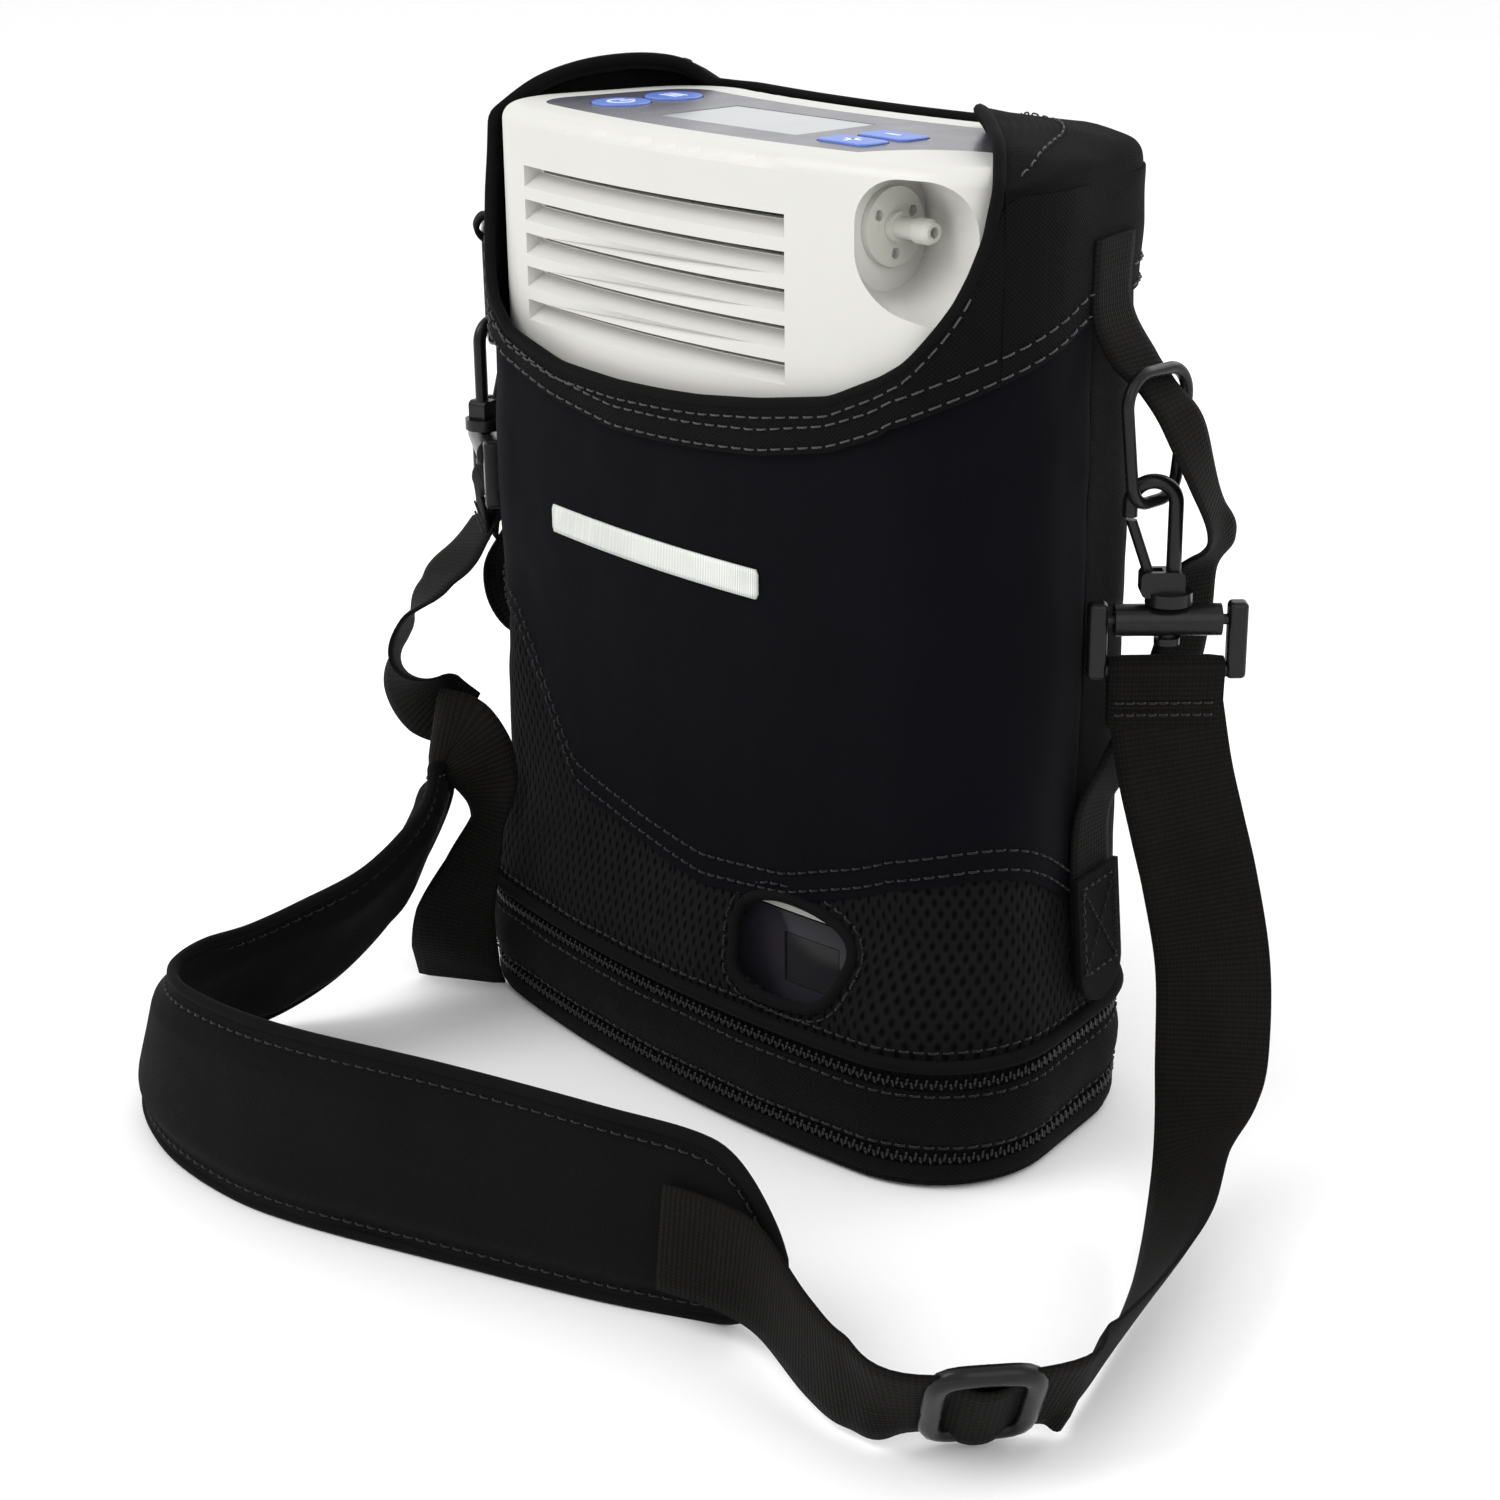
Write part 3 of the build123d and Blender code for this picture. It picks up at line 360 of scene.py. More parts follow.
def woven(name, colour, pitch, depth, roughness=0.85, sheen=0.01, kind="UV", unit=TEXTURE, fuzz=0.5):
    """Plain weave. The pitch is in millimetres, and unit turns it into the texture's own."""
    shader = Shader(name, colour, roughness, specular=0.05)
    shader.set("Sheen Weight", sheen)
    shader.set("Sheen Roughness", 0.45)
    axes = shader.axes(kind)
    across = shader.ripple(axes[0], pitch * unit)
    up = shader.ripple(axes[1], pitch * unit)
    over = shader.math("MULTIPLY", across, up)
    gaps = shader.math("SUBTRACT", 1.0, across), shader.math("SUBTRACT", 1.0, up)
    under = shader.math("MULTIPLY", *gaps)
    threads = shader.math("ADD", over, under)
    fibre = shader.noise(1500.0, 3.0)
    broad = shader.noise(30.0, 5.0)
    mixed = shader.mix(threads, 0.55, broad, fuzz)
    shader.colours(mixed, (0.1, scaled(colour, 0.45)), (0.55, colour), (0.95, scaled(colour, 1.7)))
    shader.bump(threads, depth)
    shader.bump(fibre, 0.00006)
    shader.bump(broad, 0.0006, 0.5)
    return shader.material


def ribbed(name, colour, rib=1.25, thread=0.9):
    """Webbing: ribs across its length and fine warp threads along it."""
    shader = Shader(name, colour, 0.78, specular=0.06)
    shader.set("Sheen Weight", 0.01)
    shader.set("Sheen Roughness", 0.4)
    axes = shader.axes("UV")
    ribs = shader.ripple(axes[1], rib * TEXTURE)
    warp = shader.ripple(axes[0], thread * TEXTURE)
    shift = shader.ripple(axes[0], 2 * thread * TEXTURE)
    herring = shader.math("MULTIPLY", ribs, shader.math("ADD", shader.math("MULTIPLY", shift, 0.4), 0.6))
    height = shader.mix(herring, 0.7, warp, 0.3)
    fibre = shader.noise(1800.0, 3.0)
    broad = shader.noise(45.0, 5.0)
    mixed = shader.mix(height, 0.5, broad, 0.5)
    shader.colours(mixed, (0.15, scaled(colour, 0.45)), (0.5, colour), (0.9, scaled(colour, 1.8)))
    shader.bump(height, 0.00028)
    shader.bump(fibre, 0.00005)
    return shader.material


def knit_mesh(name, colour, spacing=3.2, slope=0.577):
    """Spacer mesh: rows of small round holes, every second row shifted."""
    shader = Shader(name, colour, 0.9, specular=0.05)
    shader.set("Sheen Weight", 0.01)
    axes = shader.axes("UV")
    pitch = spacing * TEXTURE
    slant = shader.math("ADD", axes[0], shader.math("MULTIPLY", axes[1], slope))
    slant_back = shader.math("SUBTRACT", axes[0], shader.math("MULTIPLY", axes[1], slope))
    holes = shader.math("MULTIPLY", shader.ripple(slant, pitch), shader.ripple(slant_back, pitch))
    walls = shader.math("SUBTRACT", 1.0, shader.math("POWER", holes, 1.4))
    broad = shader.noise(35.0, 5.0)
    mixed = shader.mix(walls, 0.7, broad, 0.3)
    tones = scaled(colour, 0.12), scaled(colour, 0.8), scaled(colour, 1.9)
    shader.colours(mixed, *zip((0.25, 0.6, 0.95), tones))
    shader.bump(walls, 0.0009)
    shader.bump(shader.noise(1200.0, 3.0), 0.00008)
    return shader.material


def foam(name, colour):
    shader = Shader(name, colour, 0.95, specular=0.1)
    cells = shader.node("ShaderNodeTexVoronoi")
    shader.link(shader.coordinates(), cells.inputs["Vector"])
    cells.inputs["Scale"].default_value = 700.0
    shader.colours(cells.outputs["Distance"], (0.1, scaled(colour, 0.3)), (0.8, scaled(colour, 1.8)))
    shader.bump(cells.outputs["Distance"], 0.0006)
    return shader.material


WHITE = plastic(
    "cabinet_white", (0.58, 0.575, 0.545), 0.42, grain=1400.0, depth=0.00002, variation=0.015,
)
FILM = plastic("panel_film", (0.085, 0.083, 0.105), 0.24, depth=0.00001, variation=0.12)
KEY = plastic("key_blue", (0.085, 0.17, 0.56), 0.30, depth=0.00001, variation=0.08)
SYMBOL = plastic("symbol_white", (0.75, 0.80, 0.88), 0.4, variation=0.02)
SCREEN = plastic("display_grey", (0.36, 0.38, 0.385), 0.12, depth=0.000004, variation=0.10)
OUTLET = plastic("outlet_grey", (0.50, 0.50, 0.455), 0.33, variation=0.05)
BATTERY = plastic("battery_black", (0.03, 0.028, 0.036), 0.10, depth=0.00001)
LATCH = plastic("latch_black", (0.022, 0.022, 0.024), 0.22)
HARDWARE = plastic(
    "hardware_black", (0.006, 0.006, 0.0063), 0.26, grain=600.0, depth=0.00005, specular=0.22,
)
ENAMEL = plastic("enamel_black", (0.012, 0.012, 0.012), 0.22, specular=0.35)
COIL = plastic("zipper_coil", (0.006, 0.006, 0.0065), 0.3, specular=0.3)
INNER = plastic("inner_plastic", (0.10, 0.10, 0.10), 0.5, variation=0.2)
RUBBER = plastic("rubber", (0.04, 0.04, 0.04), 0.65, variation=0.2)
BOARD = plastic("circuit_board", (0.02, 0.16, 0.06), 0.4, variation=0.25)
CELLS = plastic("cell_sleeves", (0.05, 0.22, 0.17), 0.35, variation=0.15)
ALLOY = metal("cast_alloy", (0.55, 0.56, 0.57), 0.42)
STEEL = metal("zinc_steel", (0.60, 0.60, 0.58), 0.32)
FILTER = foam("filter_foam", (0.03, 0.03, 0.03))
CANVAS = woven("canvas_black", (0.0042, 0.0039, 0.0040), 1.1, 0.00022)
PAD_CLOTH = woven("pad_cloth", (0.0044, 0.0041, 0.0041), 0.9, 0.00012)
NEOPRENE = woven("neoprene_knit", (0.0026, 0.0027, 0.0042), 0.55, 0.00004, fuzz=0.4)
TAPE = woven("tape_black", (0.0045, 0.0043, 0.0044), 0.7, 0.00010)
MESH = knit_mesh("spacer_mesh", (0.0045, 0.0043, 0.0043))
WEBBING = ribbed("webbing_black", (0.0060, 0.0054, 0.0050))
BY_PLACE = {"kind": "Object", "unit": 0.001}  # weave laid out in the piece's own space, in metres
THREAD = woven("thread_grey", (0.055, 0.055, 0.058), 0.5, 0.00005, sheen=0.2, **BY_PLACE)
DARK_THREAD = woven("thread_dark", (0.014, 0.0135, 0.014), 0.5, 0.00005, sheen=0.2, **BY_PLACE)
REFLECTIVE = woven(
    "reflective_pale", (0.62, 0.64, 0.60), 0.6, 0.00003, roughness=0.4, sheen=0.15, **BY_PLACE,
)

CAD_LOOKS = {
    WHITE: ["front_housing", "rear_housing"],
    FILM: ["control_panel"],
    KEY: ["button_power", "button_mode", "button_plus", "button_minus"],
    SCREEN: ["display_window"],
    OUTLET: ["outlet_disc", "outlet_barb"],
    BATTERY: ["battery_case"],
    LATCH: ["battery_latch"],
    HARDWARE: [
        "ring_left", "ring_right", "hook_left", "hook_right", "hook_gate_left", "hook_gate_right",
        "strap_frame_left", "strap_frame_right",
    ],
    ENAMEL: ["zip_slider_lower", "zip_slider_upper", "zip_pull_lower", "zip_pull_upper"],
    INNER: ["fan_frame", "fan_rotor", "power_inlet"],
    RUBBER: ["isolator_feet", "outlet_hose"],
    BOARD: ["circuit_board"],
    CELLS: ["battery_cells"],
    ALLOY: ["chassis_plate", "compressor", "sieve_columns", "product_tank", "valve_manifold"],
    STEEL: ["housing_screws"],
    FILTER: ["intake_filter"],
}
for material, names in CAD_LOOKS.items():
    for name in names:
        nodes[name].data.materials.clear()
        nodes[name].data.materials.append(material)


# ==== camera, lights and floor
AZIMUTH, RISE, ROLL = 48.968, 20.215, -0.591
CAMERA_AIM = (34.401, -43.767, 104.483)
CAMERA_DISTANCE = 0.685237
CAMERA_LENS = 66.65
FLOOR_REACH = 30


def set_camera():
    azimuth, rise, roll = math.radians(AZIMUTH), math.radians(RISE), math.radians(ROLL)
    back = Vector((math.sin(azimuth) * math.cos(rise), -math.cos(azimuth) * math.cos(rise), math.sin(rise)))
    right = Vector((0, 0, 1)).cross(back).normalized()
    up = back.cross(right)
    right, up = (
        right * math.cos(roll) + up * math.sin(roll),
        up * math.cos(roll) - right * math.sin(roll),
    )
    data = bpy.data.cameras.new("camera")
    data.lens = CAMERA_LENS
    data.sensor_width = 36.0
    data.clip_start = 0.01
    camera = put("camera", data)
    turn = Matrix((right, up, back)).transposed().to_4x4()
    camera.matrix_world = Matrix.Translation(Vector(CAMERA_AIM) * MM + back * CAMERA_DISTANCE) @ turn
    bpy.context.scene.camera = camera


def add_light(name, place, aim, size, power):
    data = bpy.data.lights.new(name, "AREA")
    data.shape = "RECTANGLE"
    data.size, data.size_y = size
    data.energy = power
    light = put(name, data)
    away = (Vector(place) - Vector(aim)).to_track_quat("Z", "Y")
    light.location = place
    light.rotation_euler = away.to_euler()


def set_stage():
    bm = bmesh.new()
    corners = ((-1, -1), (1, -1), (1, 1), (-1, 1))
    bm.faces.new([bm.verts.new((x * FLOOR_REACH, y * FLOOR_REACH, 0)) for x, y in corners])
    mesh = bpy.data.meshes.new("floor")
    bm.to_mesh(mesh)
    bm.free()
    floor = put("floor", mesh)
    mesh.materials.append(plastic("floor_pale", (0.96, 0.96, 0.96), 0.7, depth=0.00001, variation=0.005))
    world = bpy.data.worlds.new("studio")
    bpy.context.scene.world = world
    world.use_nodes = True
    world.node_tree.nodes["Background"].inputs[0].default_value = (1.0, 1.0, 1.0, 1.0)
    world.node_tree.nodes["Background"].inputs[1].default_value = 1.0
    add_light("key", (-0.6, -1.2, 1.5), (0, 0, 0.12), (1.0, 1.0), 14)
    add_light("fill", (1.5, -0.5, 0.9), (0, 0, 0.12), (1.0, 1.4), 6)
    add_light("rim", (0.2, 1.3, 1.1), (0, 0, 0.15), (1.4, 0.8), 8)


set_camera()
set_stage()
bpy.context.scene.view_settings.view_transform = "Standard"


# ==== bag outline
ARC = 387.0  # plan radius of the curved cabinet and bag
SPANS = (60, 14, 10, 14, 44)  # faces on half the outline: front, front corner, end, rear corner, rear


def half_outline(width, depth, corner, shift):
    """Points and outward directions, from the middle of the front round the right end to the back."""
    outer, inner = ARC + depth / 2, ARC - depth / 2
    lean = math.asin(corner / (outer - corner))
    half = math.asin((width / 2 - corner) / (outer - corner)) + lean
    rear_half = half - math.asin(corner / (inner + corner))
    front_half = half - lean

    def place(radius, angle):
        return Vector((radius * math.sin(angle), ARC + shift - radius * math.cos(angle), 0))

    def facing(angle):
        return Vector((math.sin(angle), -math.cos(angle), 0))

    def turn(centre, start, end, count):
        ways = [facing(lerp(start, end, k / count)) for k in range(count)]
        return [(centre + way * corner, way) for way in ways]

    angles = [front_half * k / SPANS[0] for k in range(SPANS[0])]
    found = [(place(outer, angle), facing(angle)) for angle in angles]
    centre = place(outer - corner, front_half)
    found += turn(centre, front_half, half + math.pi / 2, SPANS[1])
    centre_back = place(inner + corner, rear_half)
    flat = facing(half + math.pi / 2)
    start, end = centre + flat * corner, centre_back + flat * corner
    found += [(start.lerp(end, k / SPANS[2]), flat) for k in range(SPANS[2])]
    found += turn(centre_back, half + math.pi / 2, rear_half + math.pi, SPANS[3])
    for k in range(SPANS[4] + 1):
        angle = rear_half * (1 - k / SPANS[4])
        found.append((place(inner, angle), facing(angle + math.pi)))
    return found


def outline(*plan):
    half = half_outline(*plan)
    mirrored = [(Vector((-p.x, p.y, 0)), Vector((-n.x, n.y, 0))) for p, n in half[-2:0:-1]]
    return half + mirrored


FOOT = outline(196, 91, 32, -1.7)
BODY = outline(190, 79, 26, 0)
COUNT = len(BODY)
ALL_ROUND = list(range(COUNT))
REACH = reaches([p for p, _ in BODY])
AROUND = REACH[-1] + (BODY[0][0] - BODY[-1][0]).length
HALF = COUNT // 2


def on_wall(i, z, out):
    """Point of the bag's wall at a station round it."""
    t = smooth((z - 38) / 30)
    i %= COUNT
    p = FOOT[i][0].lerp(BODY[i][0], t) + BODY[i][1] * out
    return Vector((p.x, p.y, z))


def nearest(x, y):
    return min(range(COUNT), key=lambda i: (BODY[i][0].x - x) ** 2 + (BODY[i][0].y - y) ** 2)


def on_face(x, z, out, stations=range(-74, 74)):
    """Point of the front at a sideways position, or of other stations, and its outward direction."""
    for k in stations:
        a, b = on_wall(k, z, out), on_wall(k + 1, z, out)
        if min(a.x, b.x) <= x <= max(a.x, b.x):
            return a.lerp(b, (x - a.x) / (b.x - a.x)), BODY[k % COUNT][1]


def around(controls, soften=4):
    """Height at every station, from (x, y, height) points anywhere round the bag."""
    spots = sorted((REACH[nearest(x, y)], z) for x, y, z in controls)
    spots = [(spots[-1][0] - AROUND, spots[-1][1])] + spots + [(spots[0][0] + AROUND, spots[0][1])]
    found = [along(spots, u) for u in REACH]
    for _ in range(soften):
        found = [(found[i - 1] + 2 * found[i] + found[(i + 1) % COUNT]) / 4 for i in range(COUNT)]
    return found


def rumple(point, size, amount, seed=0.0):
    """Small unevenness of cloth, the same for the same place."""
    return noise.noise(Vector(point) / size + Vector((seed, seed * 0.7, 0))) * amount


# heights round the bag: the visible top opening, the seams and the rear edge
FRONT = -40
OPEN_EDGE = around(
    [
        (0, FRONT, 187.6), (13.6, FRONT, 188.4), (35, FRONT, 190.8), (56, -36, 194.5), (76, -36, 203.6),
        (84.6, -33, 211), (91.5, -27, 223.5), (93.6, -21, 246), (94.5, -14, 248), (94, 6, 248),
        (90, 24, 249),
        (78, 39, 249), (36, 36, 248.6), (0, 36, 248.6), (-36, 36, 248.6), (-78, 39, 249), (-90, 24, 249),
        (-94, 6, 248), (-94.5, -14, 248), (-93.6, -21, 245), (-92.5, -26, 228), (-89, -31, 212),
        (-82, -35, 199),
        (-70.8, -37, 192.2), (-44.8, FRONT, 187.5), (-17.6, FRONT, 187),
    ],
    2,
)
YOKE_SEAM = around(
    [
        (0, FRONT, 175.8), (13, FRONT, 176.5), (34, FRONT, 178.3), (56.2, -37, 182.7), (70.7, -37, 188),
        (84.8, -34, 195), (93.5, -19.5, 202), (93.9, 6, 212), (88, 28, 216), (60, 37, 216), (0, 36, 214),
        (-60, 37, 214), (-88, 28, 212), (-93.9, 6, 208), (-93.5, -19.5, 199), (-87, -32, 190),
        (-74, -37, 184.5),
        (-45, FRONT, 178.2), (-18, FRONT, 175.4),
    ]
)
LOWER_SEAM = around(
    [
        (0, FRONT, 63.5), (11, FRONT, 62), (41, FRONT, 65), (64, -37, 72.5), (82, -35, 79), (93, -22, 82.4),
        (95, -10, 81), (94, 4, 72), (90, 25, 56), (78, 36, 58), (30, 36, 62), (-30, 36, 66), (-78, 36, 84),
        (-90, 25, 104), (-94, 5, 116), (-94, -15, 118), (-88, -30, 115), (-75, -36, 110), (-62, -38, 96.5),
        (-45, FRONT, 72), (-16, FRONT, 66.5),
    ]
)


def panel(
    name, stations, low, high, rows, out, material, replaces,
    bulge=0.0, fold=0.35, thick=1.6, hole=None,
):
    """A sewn piece of the bag's wall between two heights, given at every station."""
    bm = bmesh.new()
    points, uvs = [], []
    for r in range(rows + 1):
        t = r / rows
        line, uv_line = [], []
        for i in stations:
            k = i % COUNT
            z = lerp(low[k], high[k], t)
            base = on_wall(k, z, 0)
            lift = out + bulge * 4 * t * (1 - t)
            lift += rumple(base, 26, fold, len(name)) + rumple(base, 9, fold * 0.4, len(name))
            line.append(base + BODY[k][1] * lift)
            uv_line.append((REACH[k] + (AROUND if i >= COUNT else 0) - (AROUND if i < 0 else 0), z))
        points.append(line)
        uvs.append(uv_line)
    closed = len(stations) == COUNT
    grid(bm, points, uvs, closed)
    if hole:
        gone = [f for f in bm.faces if hole(f.calc_center_median())]
        bmesh.ops.delete(bm, geom=gone, context="FACES")
    piece = finish_piece(name, bm, material, replaces=replaces)
    thicken(piece, thick, edge=0.35)
    return piece


def level(z):
    return [z] * COUNT


def drape(path, ways, pieces):
    """Moves a path in millimetres on to the outer face of finished pieces, along the given directions."""
    search, lift = 9, 0.12
    trees = []
    for mesh in (piece.data for piece in pieces):
        faces = [face.vertices for face in mesh.polygons]
        trees.append(BVHTree.FromPolygons([vert.co for vert in mesh.vertices], faces))
    found = []
    for point, way in zip(path, ways):
        start = (point + way * search) * MM
        best = None
        for tree in trees:
            hit, _, _, far = tree.ray_cast(start, -way, 2 * search * MM)
            if hit is not None and (best is None or far < best[0]):
                best = (far, hit)
        found.append(best[1] / MM + way * lift if best else point)
    return found


def sew(bm, stations, heights, pieces, shift, closed=False, **kinds):
    """Stitches along a seam, lying on the pieces that it joins."""
    path = [on_wall(i, heights[i % COUNT] + shift, 2.0) for i in stations]
    ways = [BODY[i % COUNT][1] for i in stations]
    path = drape(path, ways, pieces)
    if closed:
        path, ways = close_path(path), ways + [ways[0]]
    merge(bm, stitches(path, ways, **kinds))


# ==== lower bag: base, bands, zippers
def cap_ring(bm, ring):
    """Closes a ring of the outline with strips from its right half to its left half."""
    for k in range(len(ring) // 2):
        corners = list(dict.fromkeys((ring[k], ring[k + 1], ring[-k - 1], ring[-k])))
        if len(corners) > 2:
            bm.faces.new(corners)


def make_base():
    bm = bmesh.new()
    places = ((0.3, -31), (0.3, -20), (0.3, -9), (0.3, -1.4), (1.2, 0.1), (3.0, 0.4))
    rings = [[on_wall(i, z, out) for i in ALL_ROUND] for z, out in places]
    made = grid(bm, rings, [[(p.x, p.y) for p in ring] for ring in rings], True)
    cap_ring(bm, made[0])
    bmesh.ops.recalc_face_normals(bm, faces=bm.faces)
    piece = finish_piece("base_cloth", bm, CANVAS, replaces=["bag_base_panel"])
    thicken(piece, 1.8)


TOOTH_PITCH = 1.2


def zip_teeth(z):
    """Two interlocked rows of coil turns round the bag."""
    path = close_path([on_wall(i, z, 0.9) for i in ALL_ROUND])
    ways = close_path([BODY[i][1] for i in ALL_ROUND])
    lengths = reaches(path)
    count = int(lengths[-1] / TOOTH_PITCH)
    points = resample(path, count + 1)
    bm = bmesh.new()
    for k in range(count):
        way = ways[span_at(lengths, lengths[-1] * k / count)]
        ahead = (points[k + 1] - points[k]).normalized()
        side = 1 if k % 2 else -1
        a = points[k] - Vector((0, 0, side * 0.45)) + way * 0.25
        b = points[k] + Vector((0, 0, side * 1.0)) + ahead * 0.3 + way * 0.1
        c = points[k] + Vector((0, 0, side * 1.45)) + ahead * 0.4 - way * 0.5
        merge(bm, tube([a, b, c], 0.46, sides=5))
    return bm


def make_zipper(name, z):
    low, high = level(z - 2.6), level(z + 2.6)
    panel(name + "_tape", ALL_ROUND, low, high, 4, 0.1, TAPE, [name], fold=0.05, thick=1.2)
    finish_piece(name + "_teeth", zip_teeth(z), COIL, replaces=[name])


make_base()
panel(
    "lower_band", ALL_ROUND, level(2.6), level(7.3), 5, 0.8, CANVAS, ["bag_lower_band"],
    bulge=0.5, fold=0.2,
)
make_zipper("zipper_lower", 9.0)
EXPANSION = panel(
    "expansion_band", ALL_ROUND, level(10.8), level(27.4), 12, 0.7, CANVAS,
    ["bag_expansion_band"], bulge=1.8, fold=0.7,
)
make_zipper("zipper_upper", 29.3)


# ==== mesh panel and battery window
WINDOW = (45.6, 53.2, 18.0, 11.8)


def window_edge(angle, grow=0.0):
    """Point (x, z) on the window's wavy rim."""
    x, z, half_x, half_z = WINDOW
    c, s = math.cos(angle), math.sin(angle)
    size = 1.0 / (abs(c) ** 2.6 + abs(s) ** 2.6) ** (1 / 2.6)
    wave = 1 + 0.035 * math.sin(3 * angle + 0.6) + 0.02 * math.sin(5 * angle)
    return x + c * size * (half_x + grow) * wave, z + s * size * (half_z + grow) * wave


def in_window(point):
    if point.y > 0:
        return False
    dx, dz = point.x - WINDOW[0], point.z - WINDOW[1]
    edge = window_edge(math.atan2(dz / WINDOW[3], dx / WINDOW[2]))
    return dx * dx + dz * dz < (edge[0] - WINDOW[0]) ** 2 + (edge[1] - WINDOW[1]) ** 2


MESH_TOP = [z + 3 for z in LOWER_SEAM]
MESH_PANEL = panel(
    "mesh_panel", ALL_ROUND, level(31.2), MESH_TOP, 34, 0.0, MESH, ["bag_mesh_panel"],
    bulge=1.0, fold=0.8, hole=in_window,
)


def make_window_binding():
    steps = [2 * math.pi * k / 72 for k in range(72)]
    path = []
    for angle in steps:
        x, z = window_edge(angle, 0.8)
        path.append(on_face(x, z, 1.0)[0])
    finish_piece(
        "window_binding", tube(path, 1.5, sides=10, closed=True), TAPE,
        replaces=["bag_window_binding"],
    )
    bm = bmesh.new()
    outside, ways = [], []
    for angle in steps + [0.0]:
        x, z = window_edge(angle, 4.0)
        point, way = on_face(x, z, 1.3)
        outside.append(point)
        ways.append(way)
    merge(bm, stitches(drape(outside, ways, [MESH_PANEL]), ways))
    finish_piece("window_stitches", bm, DARK_THREAD)


make_window_binding()
piping = tube([on_wall(i, 34.2, 1.6) for i in ALL_ROUND], 1.7, sides=8, closed=True)
finish_piece("lower_piping", piping, TAPE)

# ==== neoprene front and back
SIDE = 79  # station in the middle of the right end
FRONT_STATIONS = list(range(-SIDE, SIDE + 1))
BACK_STATIONS = list(range(SIDE, COUNT - SIDE + 1))
PANEL_LOW = [z - 1 for z in LOWER_SEAM]
PANEL_HIGH = [z + 3 for z in YOKE_SEAM]
FRONT_PANEL = panel(
    "front_panel", FRONT_STATIONS, PANEL_LOW, PANEL_HIGH, 50, 1.0, NEOPRENE,
    ["bag_front_panel"], bulge=0.8, fold=0.5, thick=2.0,
)


INLET, INLET_RADIUS = (-46, 86), 9


def in_inlet(point):
    return point.y > 0 and math.hypot(point.x - INLET[0], point.z - INLET[1]) < INLET_RADIUS


BACK_PANEL = panel(
    "back_panel", BACK_STATIONS, PANEL_LOW, PANEL_HIGH, 60, 0.9, CANVAS, ["bag_back_panel"],
    bulge=0.8, fold=0.6, thick=2.0, hole=in_inlet,
)


inlet_rim = []
for k in range(40):
    a, radius = 2 * math.pi * k / 40, INLET_RADIUS + 0.4
    x, z = INLET[0] + radius * math.cos(a), INLET[1] + radius * math.sin(a)
    inlet_rim.append(on_face(x, z, 1.4, range(HALF - 60, HALF + 60))[0])
finish_piece("inlet_binding", tube(inlet_rim, 1.6, sides=8, closed=True), TAPE)

# ==== yoke: front band, side walls, rear, and the two hoods
HOOD_START, HOOD_FOOT = nearest(93.6, -21), 241.0
RIGHT_END, LEFT_END = nearest(40, 36), nearest(-72, 40)
RIGHT_HOOD = list(range(HOOD_START, RIGHT_END + 1))
LEFT_HOOD = list(range(LEFT_END, COUNT - HOOD_START + 1))
WALL_TOP = list(OPEN_EDGE)
for i in RIGHT_HOOD[1:-1] + LEFT_HOOD[1:-1]:
    WALL_TOP[i] = min(WALL_TOP[i], 244.0)

YOKE = [
    panel(
        name, list(range(first, last)), YOKE_SEAM, WALL_TOP, rows, 2.6, CANVAS, [node],
        bulge=bulge, fold=fold, thick=2.4,
    )
    for name, node, first, last, rows, bulge, fold in (
        ("yoke_front", "bag_yoke_front", -HOOD_START, HOOD_START + 1, 16, 0.5, 0.5),
        ("yoke_wall_right", "bag_yoke_right", HOOD_START, HALF - 20, 26, 0.6, 0.9),
        ("yoke_wall_left", "bag_yoke_left", HALF + 20, COUNT - HOOD_START + 1, 26, 0.6, 0.9),
        ("yoke_wall_rear", "bag_yoke_rear", HALF - 21, HALF + 22, 26, 0.6, 0.9),
    )
]

RIGHT_RIM = [
    (93.4, -21, 245.5), (85, -12.5, 252.5), (73, -2, 255), (61, 8, 256), (50, 17, 255.5), (43, 26, 253),
    (39.5, 36, 249.5),
]
LEFT_RIM = [
    (-93.4, -21, 245), (-91.5, -9, 252), (-89.5, 3, 255.5), (-86, 14, 257), (-81, 24, 257),
    (-76.5, 32, 255), (-72.5, 38, 250),
]


def hood_rows(stations, rim, corner, fall):
    """Rows from the wall's top over the shoulder to the inner rim."""
    inner = resample(spline(rim, 12), len(stations))
    rows = []
    steps = 18
    for r in range(steps + 1):
        t = r / steps
        row = []
        for k, i in enumerate(stations):
            foot = on_wall(i, HOOD_FOOT, 2.7)
            end = inner[k]
            reach = (end - foot).length
            crown = min(reach / 30, 1.0)
            shoulder = Vector((foot.x, foot.y, end.z + 0.5 - fall * crown))
            shoulder += BODY[i % COUNT][1] * 0.4
            heavy = corner * 2 * t * (1 - t)
            weight = (1 - t) ** 2 + heavy + t * t
            p = (foot * (1 - t) ** 2 + shoulder * heavy + end * t * t) / weight
            dent = rumple(p, 24, 1.5, 3.0) + rumple(p, 10, 0.5, 3.0)
            row.append(p + Vector((0, 0, dent * crown)) + BODY[i % COUNT][1] * rumple(p, 18, 0.8) * (1 - t))
        rows.append(row)
    return rows, inner


HOODS = []


def make_hood(side, stations, rim, corner, fall):
    if side == "left":
        rim = rim[::-1]
    rows, inner = hood_rows(stations, rim, corner, fall)
    bm = bmesh.new()
    uvs = [[(REACH[i % COUNT], HOOD_FOOT + 2.2 * r) for i in stations] for r in range(len(rows))]
    grid(bm, rows, uvs)
    piece = finish_piece("hood_" + side, bm, CANVAS, replaces=["bag_yoke_" + side])
    thicken(piece, 3.0, edge=0.5)
    HOODS.append(piece)
    return rows, inner


